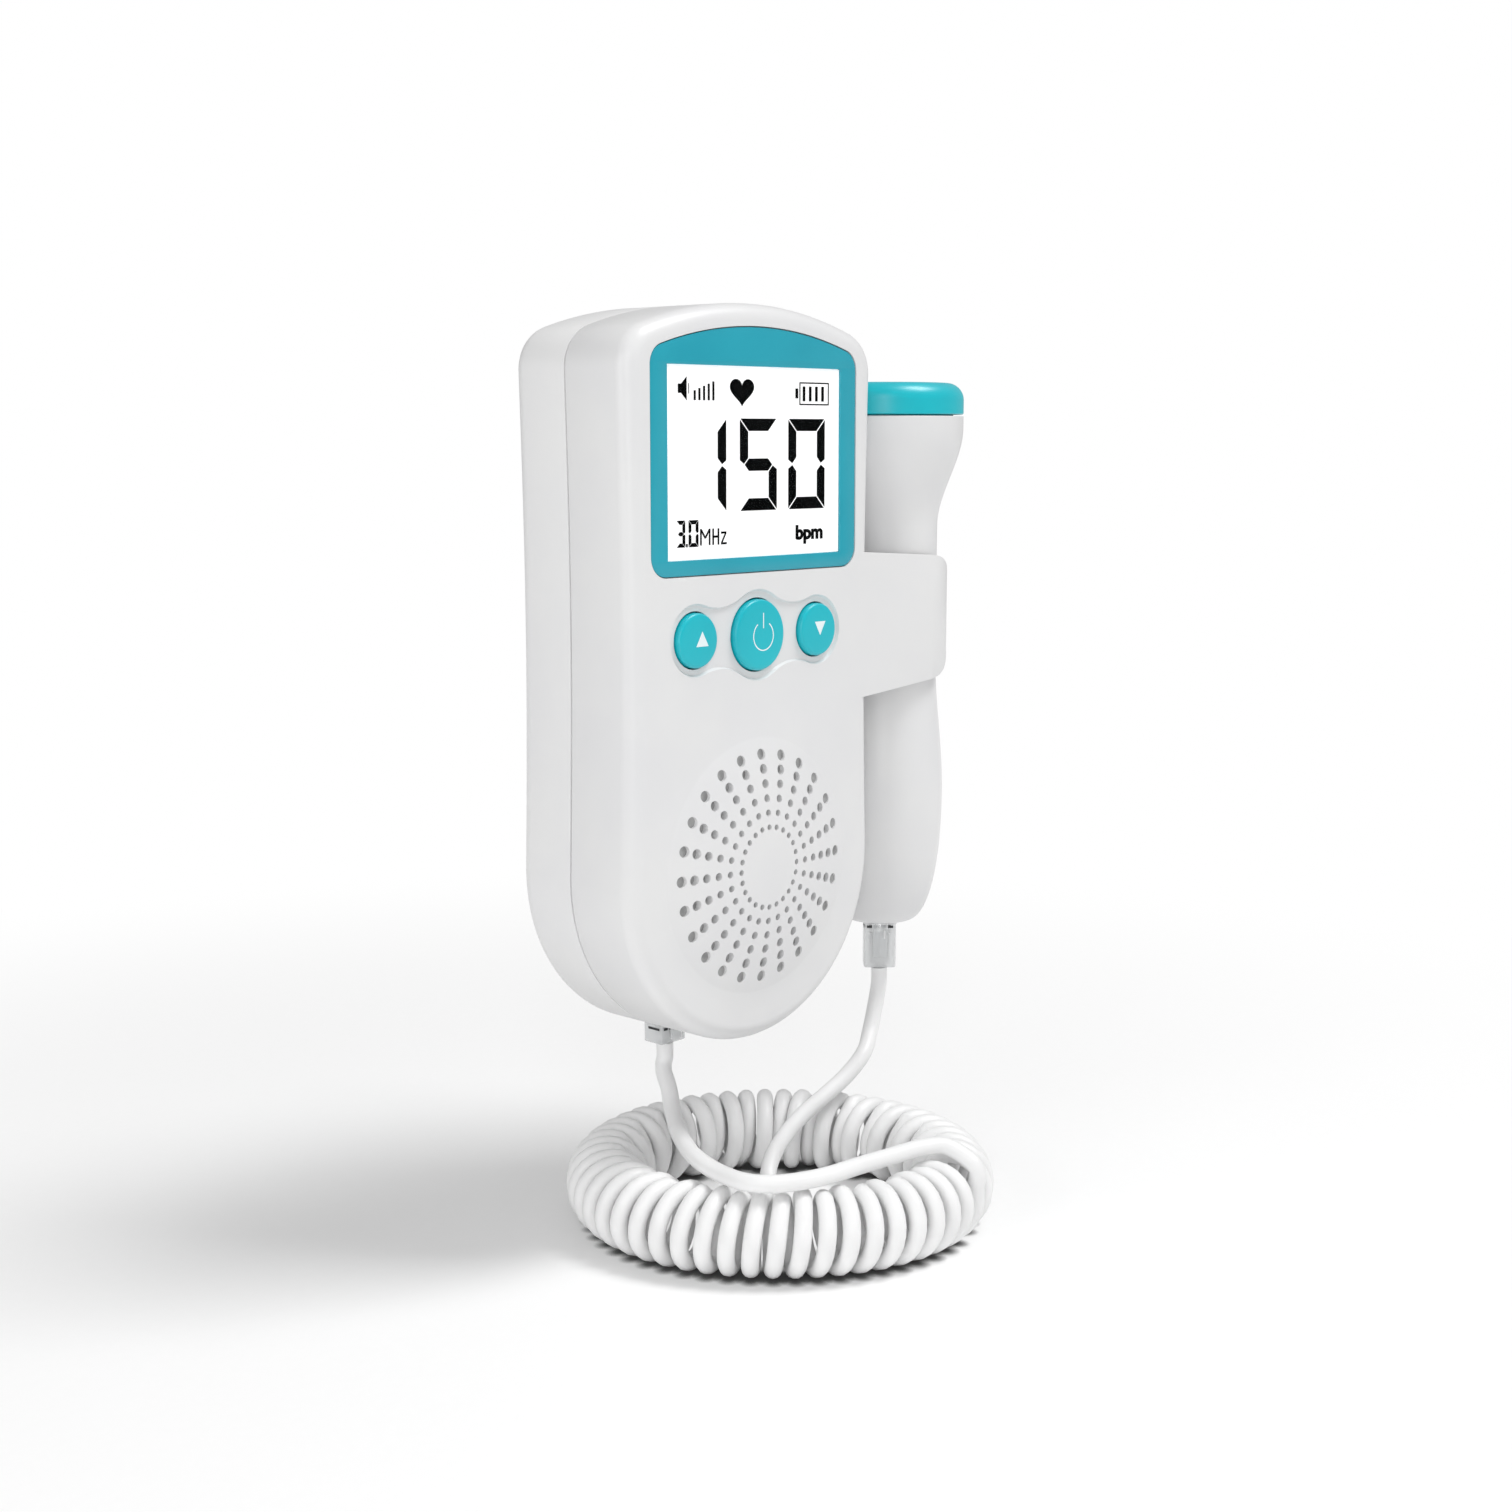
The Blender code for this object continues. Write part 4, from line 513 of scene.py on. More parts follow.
def recess_loop(grow):
    """Three lobes round the buttons, joined by hollow necks."""
    middle, side, neck = 8.1 * MM + grow, 6.3 * MM + grow, 11.7 * MM - grow
    a, b, spacing = middle + neck, side + neck, 16.0 * MM
    x = (a**2 - b**2 + spacing**2) / (2 * spacing)
    z = sqrt(a**2 - x**2)
    one, two = atan2(z, x), atan2(z, x - spacing)
    quarter = arc((spacing, 0), side, 0, two, 20)
    quarter += arc((x, z), neck, two - pi, one - pi, 14)[1:]
    quarter += arc((0, 0), middle, one, pi / 2, 12)[1:]
    upper = quarter + [(-p, q) for p, q in reversed(quarter[:-1])]
    return [(p, q + ROW) for p, q in upper + [(p, -q) for p, q in reversed(upper[1:-1])]]

print("casing outline: %d points" % len(casing_loop(0)))

# %% [markdown]
# The speaker hides under a shallow dome, a slice of a large sphere. Its grille is a wheel of
# spokes: 24 rows of round holes that grow from 1.1 mm to 2.1 mm outwards. They are drilled
# through, and a grey dust cloth lies behind them, as in a real grille, so the holes look deep
# but not black.

# %% Dome and its holes
DOME_Z = -34.5 * MM
DOME_RISE, DOME_RADIUS = mm(3.2, 24.0)
HOLE_RINGS, HOLE_SPOKES = 6, 24
HOLE_REACH, HOLE_RADIUS = mm(7.46, 20.78), mm(0.55, 1.05)

def dome_height(radius):
    sphere = (DOME_RADIUS**2 + DOME_RISE**2) / (2 * DOME_RISE)
    return DOME_RISE - sphere + sqrt(sphere**2 - radius**2)

def dome(name, set_back, edge, foot, rings=16):
    """The dome's shape, set back by a wall, out to an edge and closed at a foot."""
    rounds = [edge * i / rings for i in range(rings + 1)]
    profile = [(radius, dome_height(radius) - set_back) for radius in rounds]
    profile += [(edge, -foot), (0.0, -foot)]
    return lathe(name, profile, (0, behind(0), DOME_Z), along=(0, -1, 0))

def grille_holes():
    holes = []
    for ring in range(HOLE_RINGS):
        outwards = ring / (HOLE_RINGS - 1)
        reach, radius = mixed(*HOLE_REACH, outwards), mixed(*HOLE_RADIUS, outwards)
        for spoke in range(HOLE_SPOKES):
            angle = 2 * pi * spoke / HOLE_SPOKES
            holes.append((reach * sin(angle), DOME_Z + reach * cos(angle), radius))
    return rods("grille_holes", holes, behind(-5.5), behind(5.5), 20)

print("grille: %d holes" % (HOLE_RINGS * HOLE_SPOKES))

# %% [markdown]
# The clip is moulded in one with the front shell. Seen from above it is half a ring round the
# probe's neck, whose front runs on as a flat tongue from the face, with a rib to the casing's
# side. Its edges draw in towards the tip, and the tip's corners are rounded.

# %% Clip
PROBE_X, PROBE_Y = mm(51.0, -16.9)
CLIP_INNER, CLIP_OUTER = mm(11.45, 13.05)
CLIP_TIP = radians(-47.0)
CLIP_LOW, CLIP_HIGH = mm(-5.9, 22.1)
CLIP_TAPERS = mm(3.8, 2.8)
TONGUE_ROOT, TONGUE_DEPTH = 28.6 * MM, 1.8
RIB_ROOT, RIB_HALF = mm(31.0, 0.7)

def clip_loop():
    """The clip's plan: tongue, outer side, tip, inner side, far end, rib and back to the face."""
    centre, middle = (PROBE_X, PROBE_Y), (CLIP_INNER + CLIP_OUTER) / 2
    heel = CLIP_TIP - pi
    lean = asin(RIB_HALF / CLIP_OUTER)
    meeting = asin((PROBE_Y - behind(TONGUE_DEPTH)) / CLIP_OUTER) - pi

    def rounded_end(angle, start):
        nose = (PROBE_X + middle * cos(angle), PROBE_Y + middle * sin(angle))
        return arc(nose, (CLIP_OUTER - CLIP_INNER) / 2, start, start + pi, 8)[1:-1]

    loop = [(mixed(TONGUE_ROOT, PROBE_X, i / 10), behind(0.05)) for i in range(10)]
    loop += arc(centre, CLIP_OUTER, -pi / 2, CLIP_TIP, 40)
    loop += rounded_end(CLIP_TIP, CLIP_TIP)
    loop += arc(centre, CLIP_INNER, CLIP_TIP, heel, 60)
    loop += rounded_end(heel, heel + pi)
    loop += arc(centre, CLIP_OUTER, heel, -pi - lean, 16)
    loop += [(RIB_ROOT, PROBE_Y + RIB_HALF), (RIB_ROOT, PROBE_Y - RIB_HALF)]
    loop += arc(centre, CLIP_OUTER, lean - pi, meeting, 16)
    return loop + [(TONGUE_ROOT, behind(TONGUE_DEPTH))]

def clip_drop(x, y, taper):
    """How far an edge of the clip is drawn in at a point of its plan, with the tip's round corner."""
    start, wide, high = mm(29.4, 2.2, 2.4)
    if x < PROBE_X - 0.01 * MM:
        return taper * max(0.0, x - start) / (PROBE_X - start) / 2
    angle = atan2(y - PROBE_Y, x - PROBE_X)
    if angle > 0:
        return taper / 2
    share = min(1.0, (angle + pi / 2) / (CLIP_TIP + pi / 2))
    to_edge = CLIP_OUTER * (1 - cos(max(0.0, CLIP_TIP - angle)))
    corner = max(0.0, 1 - to_edge / wide)
    return taper * (1 + share) / 2 + high * (1 - sqrt(1 - corner**2))

def clip():
    piece = plate("clip", [clip_loop()], CLIP_LOW, CLIP_HIGH, upright=True)
    with edited(piece) as made:
        bmesh.ops.triangulate(made, faces=made.faces[:])
        for vertex in made.verts:
            upper = vertex.co.z >= (CLIP_LOW + CLIP_HIGH) / 2
            drop = clip_drop(vertex.co.x, vertex.co.y, CLIP_TAPERS[upper])
            vertex.co.z += -drop if upper else drop
    return softened(piece, 0.35 * MM, 60)

print("clip: %.0f mm high" % ((CLIP_HIGH - CLIP_LOW) / MM))

# %% [markdown]
# The front shell is a plate with a 3.2 mm radius round its face and a small one at the parting
# line, which makes the thin groove seen along the side. Dome and clip are added, then the
# hollow, display pocket, button recess, wells and grille are cut, in that order.

# %% Front shell
PARTING, WALL = 15.4, 2.0
BUTTONS = {"power": (0.0, 6.5 * MM), "left": mm(-16.0, 4.9), "right": mm(16.0, 4.9)}

def tapered_recess():
    """A shallow recess with sloping walls, so that its edge catches the light."""
    made = bmesh.new()
    front, back = [[made.verts.new((x, behind(level), z)) for x, z in recess_loop(grow)]
                   for level, grow in ((-1.0, 0.9 * MM), (0.5, -0.1 * MM))]
    for corners in zip(front, front[1:] + front[:1], back[1:] + back[:1], back):
        made.faces.new(corners)
    made.faces.new(front)
    made.faces.new(back)
    bmesh.ops.recalc_face_normals(made, faces=made.faces)
    return mesh_piece("recess", made)

shell = plate("front_shell_moulding", [casing_loop(0)], behind(0), behind(PARTING),
              [(behind(0), 3.2 * MM, 8), (behind(PARTING), 0.2 * MM, 2)])
hollow = plate("hollow", [casing_loop(WALL * MM)], behind(WALL), behind(PARTING + WALL),
               [(behind(WALL), 1.2 * MM, 2)])
wells = rods("wells", [(x, ROW, radius + 0.3 * MM) for x, radius in BUTTONS.values()],
             behind(-2), behind(4), 64)
shell = carve(shell, [
    (dome("dome", 0.0, 25.2 * MM, 1.2 * MM), ADD),
    (clip(), ADD),
    (hollow, CUT),
    (dome("dome_hollow", 1.6 * MM, 22.6 * MM, 2.3 * MM), CUT),
    (plate("pocket", [bezel_loop(0.2 * MM)], behind(-2), behind(1.2)), CUT),
    (plate("opening", [window_loop(1.5 * MM)], behind(-2), behind(3)), CUT),
    (tapered_recess(), CUT),
    (wells, CUT),
    (grille_holes(), CUT),
])
dress(shell, WHITE_ABS, "unit", "white_abs", "front_shell")
print("front shell: %d faces" % len(shell.data.polygons))

# %% [markdown]
# Dust cloth is a thin grey felt. Its fibres are too fine to see here, so the noise that stands
# for them is drawn coarser, at about 0.6 mm.

# %% Dust cloth behind the grille
FELT = moulded("grey_felt_dust_cloth", "#A9A9A9", "#8E8E8E", 0.95, grain=0.6 * MM, depth=0.05 * MM,
               drift=1.5 * MM)
FELT.node_tree.nodes["Principled BSDF"].inputs["Sheen Weight"].default_value = 0.2
cloth = dome("dust_cloth", 1.7 * MM, 22.2 * MM, -0.3 * MM)
dress(cloth, FELT, "unit", "dark_plastic")
print("dust cloth set", cloth.name)

# %% [markdown]
# The rear shell is the same plate with a 4 mm radius at the back. It holds the battery bay, four
# screw shafts and the jack's opening in the foot. They are cut where the CAD parts sit.

# %% Rear shell
def rounded_box(x, low, high, radius, steps=8):
    corners = [((x - radius, low + radius), -pi / 2), ((x - radius, high - radius), 0.0),
               ((radius - x, high - radius), pi / 2), ((radius - x, low + radius), pi)]
    return [point for centre, start in corners
            for point in arc(centre, radius, start, start + pi / 2, steps)]

REAR_START = PARTING + 0.3
BAY_BACK, OUTSIDE = 29, 32
COVER_CORNER, COVER_PLAY = mm(3.0, 0.3)
SCREWS = [(side * x * MM, z * MM) for x, z in ((27.3, 50.0), (16.2, -55.2)) for side in (-1, 1)]
cover_low, cover_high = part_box("battery_cover")
rear = plate("rear_shell_moulding", [casing_loop(0)], behind(REAR_START), behind(DEPTH),
             [(behind(DEPTH), 4.0 * MM, 8), (behind(REAR_START), 0.2 * MM, 2)])
rear_hollow = plate("rear_hollow", [casing_loop(WALL * MM)], behind(PARTING - WALL),
                    behind(DEPTH - WALL), [(behind(DEPTH - WALL), 1.2 * MM, 2)])
columns = rods("columns", [(*place, 3.3 * MM) for place in SCREWS], behind(REAR_START), behind(BAY_BACK))
shafts = rods("shafts", [(*place, 2.3 * MM) for place in SCREWS], behind(22), behind(OUTSIDE))
seat = plate("seat", [rounded_box(cover_high.x + COVER_PLAY, cover_low.z - COVER_PLAY,
                                  cover_high.z + COVER_PLAY, COVER_CORNER)],
             behind(27.9), behind(OUTSIDE))
rear = carve(rear, [
    (rear_hollow, CUT),
    (slab("bay", 28.4, 11.8, BAY_BACK, -45.0, -10.0), ADD),
    (columns, ADD),
    (slab("bay_way", 26.6, 12.9, OUTSIDE, -42.5, -12.5), CUT),
    (seat, CUT),
    (shafts, CUT),
    (slab("jack_room", 4.7, 20.9, 28.7, -65.1, -53.5), CUT),
    (slab("plug_way", 3.6, 22, 27.6, -70, -63), CUT),
])
dress(rear, WHITE_ABS, "unit", "white_abs", "rear_shell")
print("rear shell: %d faces" % len(rear.data.polygons))

# %% [markdown]
# The battery cover lies flush in its seat and has four grip grooves at its lower end. A small
# radius on its outer edge makes the joint round it visible, as on a real moulding.

# %% Battery cover
cover = plate("battery_cover_moulding",
              [rounded_box(cover_high.x, cover_low.z, cover_high.z, COVER_CORNER)],
              cover_low.y, cover_high.y, [(cover_high.y, 0.25 * MM, 2)])
grooves = bmesh.new()
for i in range(4):
    spot = moved((0, 0, cover_low.z + (4.0 + 2.2 * i) * MM)) @ Matrix.Rotation(pi / 2, 4, "Y")
    add_rod(grooves, 0.6 * MM, 16 * MM, spot, 24)
cover = carve(cover, [(mesh_piece("grooves", grooves), CUT)])
dress(cover, WHITE_ABS, "battery_cover", "white_abs", "battery_cover")
print("cover: %.1f mm wide" % ((cover_high.x - cover_low.x) / MM))

# %% [markdown]
# The display is a teal frame round a clear pane, with a bright white liquid-crystal panel close
# behind. A backlit panel gives off light of its own, so its finish has a little emission. The
# readings are generic: a rate, a frequency, and level, heart and battery signs.

# %% Bezel and panel
bezel = plate("display_frame", [bezel_loop(0.0), window_loop(0.0)], behind(0.1), behind(0.9))
dress(shaded(softened(bezel, 0.12 * MM, 30)), BEZEL_ABS, "unit", "teal_bezel", "display_bezel")

PANEL, tree, shader, place = new_finish("liquid_crystal_panel_backlit")
glow = spread(tree, noise(tree, place, 12 * MM, 1.0), 0.965, 1.0)
feed(tree, shader, {"Base Color": glow, "Emission Color": glow, "Emission Strength": 0.35,
                    "Roughness": 0.25})
PANEL_HALF, PANEL_LOW, PANEL_HIGH = 22.7, 22.5, 56.2
panel = slab("liquid_crystal_panel", PANEL_HALF, 0.5, 1.6, PANEL_LOW, PANEL_HIGH)
dress(panel, PANEL, "unit", "display_white", "display_window")
print("panel %.1f x %.1f mm" % (2 * PANEL_HALF, PANEL_HIGH - PANEL_LOW))

# %% [markdown]
# The readings are flat shapes just in front of the panel. Figures on such a display are built of
# seven bars with mitred ends and thin gaps, so one function draws 0, 1, 3 and 5 from their bars.

# %% Readings
marks = []

def digit(figure, left, right, low, high, width, gap=0.16):
    """One seven-bar figure in a box, in mm: outer bars mitred at its corners, gaps between."""
    middle, half, side = (low + high) / 2, width / 2, right - left
    inner_left, inner_right = left + width + gap, right - width - gap

    def level(z, way):
        """A top or foot bar, mitred at both ends."""
        return [(left + along, z + way * inwards) for along, inwards in (
            (gap, 0), (side - gap, 0), (side - gap - width, width), (gap + width, width))]

    def upright(x, way, start):
        """A side bar, mitred at the box's corner and pointed at the middle."""
        turn = 1 if middle > start else -1
        return [(x, start + turn * gap), (x, middle - turn * (gap + half * 0.6)),
                (x + way * half, middle - turn * gap), (x + way * width, middle - turn * (gap + half)),
                (x + way * width, start + turn * (gap + width))]

    bars = {"a": level(high, -1), "d": level(low, 1),
            "b": upright(right, -1, high), "c": upright(right, -1, low),
            "f": upright(left, 1, high), "e": upright(left, 1, low),
            "g": [(left + half + gap, middle), (inner_left, middle + half),
                  (inner_right, middle + half), (right - half - gap, middle),
                  (inner_right, middle - half), (inner_left, middle - half)]}
    for name in {"0": "abcdef", "1": "bc", "3": "abcdg", "5": "acdfg"}[figure]:
        marks.append(bars[name])

def patch(left, right, low, high):
    marks.append([(left, low), (right, low), (right, high), (left, high)])

def stroke(points, width):
    """A pen line through points in mm, one four-cornered patch a stretch."""
    for (ax, az), (bx, bz) in zip(points, points[1:]):
        length = dist((ax, az), (bx, bz))
        nx, nz = -(bz - az) / length * width / 2, (bx - ax) / length * width / 2
        marks.append([(ax + nx, az + nz), (bx + nx, bz + nz), (bx - nx, bz - nz), (ax - nx, az - nz)])

RATE, FREQUENCY = (30.7, 47.1, 2.2), (24.7, 29.4, 0.72, 0.05)
for figure, left, right, size in (
        ("1", -17.1, -7.8, RATE), ("5", -4.3, 5.5, RATE), ("0", 8.6, 18.7, RATE),
        ("3", -20.4, -18.2, FREQUENCY), ("0", -17.4, -14.9, FREQUENCY)):
    digit(figure, left, right, *size)
low, middle, high = 24.9, 26.35, 27.8
for x in (-14.3, -12.1, -11.2, -9.85):
    stroke([(x, low), (x, high)], 0.44)
for width, line in (
        (0.4, [(-14.2, high - 0.2), (-13.2, middle - 0.2), (-12.2, high - 0.2)]),
        (0.4, [(-11.2, middle), (-9.85, middle)]),
        (0.38, [(-9.2, high - 0.8), (-7.8, high - 0.8)]),
        (0.38, [(-7.95, high - 0.85), (-9.05, low + 0.25)]),
        (0.38, [(-9.2, low + 0.19), (-7.7, low + 0.19)])):
    stroke(line, width)
marks.append([(-19.9, 51.4), (-19.1, 51.4), (-17.7, 50.1), (-17.7, 54.3), (-19.1, 53.0), (-19.9, 53.0)])
heart = []
for t in [2 * pi * i / 48 for i in range(48)]:
    lobes = 13 * cos(t) - 5 * cos(2 * t) - 2 * cos(3 * t) - cos(4 * t)
    heart.append((-3.7 + 0.198 * 16 * sin(t)**3, 52.0 + 0.172 * lobes))
marks.append(heart)
decimal_point, speaker_line = (-18.05, -17.6, 24.7, 25.3), (-17.3, -17.1, 51.3, 53.1)
battery_sign = [(10.5, 11.3, 50.8, 52.6), (11.6, 19.8, 49.6, 49.85), (11.6, 19.8, 53.5, 53.75),
                (11.6, 11.9, 49.6, 53.75), (19.5, 19.8, 49.6, 53.75)]
for box in (decimal_point, speaker_line, *battery_sign):
    patch(*box)
for i in range(5):
    patch(-16.0 + 1.17 * i, -15.45 + 1.17 * i, 50.2, 51.9 + 0.4 * i)
for i in range(4):
    patch(12.5 + 1.72 * i, 13.25 + 1.72 * i, 50.3, 53.0)
print("reading: %d shapes" % len(marks))

# %% Letters and ink
def flat_marks(name, shapes, level):
    """Flat shapes given in mm on a plane behind the face."""
    made = bmesh.new()
    for shape in shapes:
        face = made.faces.new([made.verts.new((x * MM, level, z * MM)) for x, z in shape])
        face.normal_update()
        if face.normal.y > 0:
            face.normal_flip()
    return mesh_piece(name, made)

# A segment is dye behind glass, so it has no gloss of its own and the eye gets plain black.
INK = moulded("black_liquid_crystal_segment", "#060606", "#0A0A0A", 0.9, depth=0.0, ior=1.0)
INK_LEVEL = behind(0.46)
reading = flat_marks("display_reading", marks, INK_LEVEL)
letters = bpy.data.curves.new("rate_unit", "FONT")
letters.body, letters.size, letters.offset = "bpm", 3.5 * MM, 0.17 * MM
rate_unit = new_piece("rate_unit", letters)
rate_unit.matrix_world = (moved((10.6 * MM, INK_LEVEL, 25.2 * MM)) @ STANDING
                          @ Matrix.Diagonal((1.24, 1, 1, 1)))
reading = together("display_reading", [reading, settled(rate_unit)])
dress(reading, INK, "unit", "dark_plastic")
print("reading piece: %d faces" % len(reading.data.polygons))

# %% [markdown]
# The pane is a thin clear sheet flush with the frame. Clear acrylic shows almost only its
# reflection, so it is drawn as a nearly transparent gloss coat. True refraction would add noise
# and show nothing more on a sheet this thin.

# %% Clear pane
PANE, tree, shader, place = new_finish("clear_acrylic_pane_polished")
feed(tree, shader, {"Base Color": linear("#30383A"), "Alpha": 0.03, "IOR": 1.49,
                    "Roughness": spread(tree, noise(tree, place, 15 * MM), 0.03, 0.09)})
pane = slab("clear_pane", 22.6, 0.25, 0.4, 22.6, 56.1)
dress(pane, PANE, "unit", "clear_window")
print("pane set")

# %% [markdown]
# The buttons are turned discs with a soft rim. Their marks are printed: a triangle up and down
# on the side ones, and the usual sign for power in a thin pale line on the middle one.

# %% Buttons
def button(name, x, radius):
    """A disc with a soft rim, a flange behind the casing's wall and a stem to its switch."""
    top, soft = mm(0.7, 0.55)
    flange, flange_top, flange_low = radius + 0.9 * MM, -2.3 * MM, -3.1 * MM
    stem, foot = mm(1.5, -4.9)
    profile = [(0.0, top), (radius / 2, top - 0.01 * MM), (radius - soft - 0.5 * MM, top - 0.04 * MM)]
    profile += arc((radius - soft, top - 0.06 * MM - soft), soft, pi / 2, 0, 6)
    profile += [(radius, flange_top), (flange, flange_top), (flange, flange_low),
                (stem, flange_low), (stem, foot), (0.0, foot)]
    name = "button_" + name
    piece = lathe(name + "_cap", profile, (x, behind(0), ROW), along=(0, -1, 0), steps=72)
    dress(piece, TEAL_ABS, name, "teal_abs", name)

for name, (x, radius) in BUTTONS.items():
    button(name, x, radius)

PRINT = moulded("white_pad_print", "#EDF6F7", "#E4F0F2", 0.45, depth=0.0)
centre, start, end = (0.7, 8.0), 125 * DEGREE, 415 * DEGREE
power_ring = (arc(centre, 2.75, start, end, 40)
              + arc(centre, 2.52, end, start, 40))
power_bar = [(0.58, 9.4), (0.82, 9.4), (0.82, 12.2), (0.58, 12.2)]
for name, body, shapes in (
        ("mark_up", "button_left", [[(-16.75, 7.15), (-13.65, 7.15), (-15.2, 9.85)]]),
        ("mark_down", "button_right", [[(17.8, 9.7), (14.8, 9.7), (16.3, 7.1)]]),
        ("mark_power", "button_power", [power_ring, power_bar])):
    dress(flat_marks(name, shapes, behind(-0.71)), PRINT, body, "white_abs")
print("buttons and marks set")

# %% [markdown]
# The probe is a turned body: a wide head that draws in to a neck for the clip, swells for the
# hand and closes in a rounded tail. A teal cap with a soft rim covers the crystal on top.

# %% Probe body and cap
# (height, radius) in mm: head, top and foot of the neck, grip
STATIONS = [(45.5, 15.95), (26.2, 10.95), (-1.0, 10.95), (-27.0, 12.55)]
HEAD = STATIONS[0][1]
TOP, FLOOR_INSIDE, FOOT = 47.9, -52.4, -54.6
TAIL_RADIUS, TAIL_ROUNDNESS = 5.6, 2.25

def probe_radius(z):
    """Even above the first station, eased between stations, rounded off below the last."""
    for (high, above), (low, below) in zip(STATIONS, STATIONS[1:]):
        if z >= low:
            share = max(0.0, (high - z) / (high - low))
            return mixed(above, below, share * share * (3 - 2 * share))
    share = min(1.0, (low - z) / (low - FOOT))
    return mixed(TAIL_RADIUS, below, (1 - share**TAIL_ROUNDNESS) ** (1 / TAIL_ROUNDNESS))

def heights(low, high, steps):
    """Levels from high to low, closer together near the low end."""
    return [high - (high - low) * sin(pi / 2 * i / steps) for i in range(steps + 1)]

neck_high, neck_low, grip = [height for height, _ in STATIONS[1:]]
levels = heights(neck_high, TOP, 24)[1:-1] + [mixed(neck_high, neck_low, i / 8) for i in range(8)]
levels += [mixed(neck_low, grip, i / 20) for i in range(20)] + heights(FOOT, grip, 32)
inside = [(max(4.0, probe_radius(z) - 1.6), z) for z in heights(FLOOR_INSIDE, TOP, 24)]
outline = [(0.0, FLOOR_INSIDE)] + inside[::-1] + [(HEAD - 0.15, TOP), (HEAD, TOP - 0.15)]
outline += [(probe_radius(z), z) for z in levels] + [(0.0, FOOT)]
probe_body = lathe("probe_moulding", [mm(*point) for point in outline], (PROBE_X, PROBE_Y, 0))
PROBE_PLACE = moved((PROBE_X, PROBE_Y, 0)) @ Matrix.Rotation(CLIP_TIP, 4, "Z")
plug_room = block("foot_way", mm(-3.6, -2.8, -57), mm(3.6, 2.8, -50))
plug_room.data.transform(PROBE_PLACE)
probe_body = carve(probe_body, [(plug_room, CUT)])
dress(probe_body, WHITE_ABS, "probe", "white_abs", "probe_housing")

CAP_TOP, CAP_LOW, CAP_SOFT, CAP_FOOT, CAP_INSIDE = 54.4, 48.2, 3.4, 44.2, 52.4
SPIGOT, SPIGOT_BORE = 13.9, 12.4
outline = [(0.0, CAP_TOP), (6, CAP_TOP - 0.02)]
outline += arc((HEAD - CAP_SOFT, CAP_TOP - CAP_SOFT), CAP_SOFT, pi / 2, 0, 16)
outline += [(HEAD, CAP_LOW + 0.2), (HEAD - 0.2, CAP_LOW), (SPIGOT, CAP_LOW), (SPIGOT, CAP_FOOT),
            (SPIGOT_BORE, CAP_FOOT), (SPIGOT_BORE, CAP_INSIDE), (0.0, CAP_INSIDE)]
cap = lathe("probe_cap_moulding", [mm(*point) for point in outline], (PROBE_X, PROBE_Y, 0))
dress(cap, TEAL_ABS, "probe", "teal_abs", "probe_cap")
print("probe: %.1f mm high" % (CAP_TOP - FOOT))

# %% [markdown]
# The plugs are small clear mouldings of polycarbonate. Their latch springs out at the front, gold
# contacts lie behind slots near the end, and the cord's jacket is crimped inside. The finish is a
# pale gloss that lets a little less than half of what lies behind show through. It can't hold the
# dark shade of the moulding's hollows, so thin dark bars stand for that shade.

# %% Clear plugs
CLEAR, tree, shader, place = new_finish("clear_polycarbonate_moulded")
wave = add_node(tree, "Bump", {"Height": noise(tree, place, 2 * MM), "Distance": 0.08 * MM,
                               "Strength": 0.5})
feed(tree, shader, {"Base Color": linear("#E4E6E7"), "Roughness": 0.08, "IOR": 1.58, "Alpha": 0.55,
                    "Normal": wave.outputs["Normal"]})

GOLD, tree, shader, place = new_finish("gold_plated_contact")
feed(tree, shader, {"Base Color": linear("#C9A24B"), "Metallic": 1.0,
                    "Roughness": spread(tree, noise(tree, place, 0.4 * MM), 0.15, 0.4)})

CORES, PLUG_HALF, PLUG_LENGTH = 4, 3.3, 14.4

def about(x, y, turn):
    """A turn about an upright line."""
    return (moved((x, y, 0)) @ Matrix.Rotation(turn, 4, "Z")
            @ moved((-x, -y, 0)))

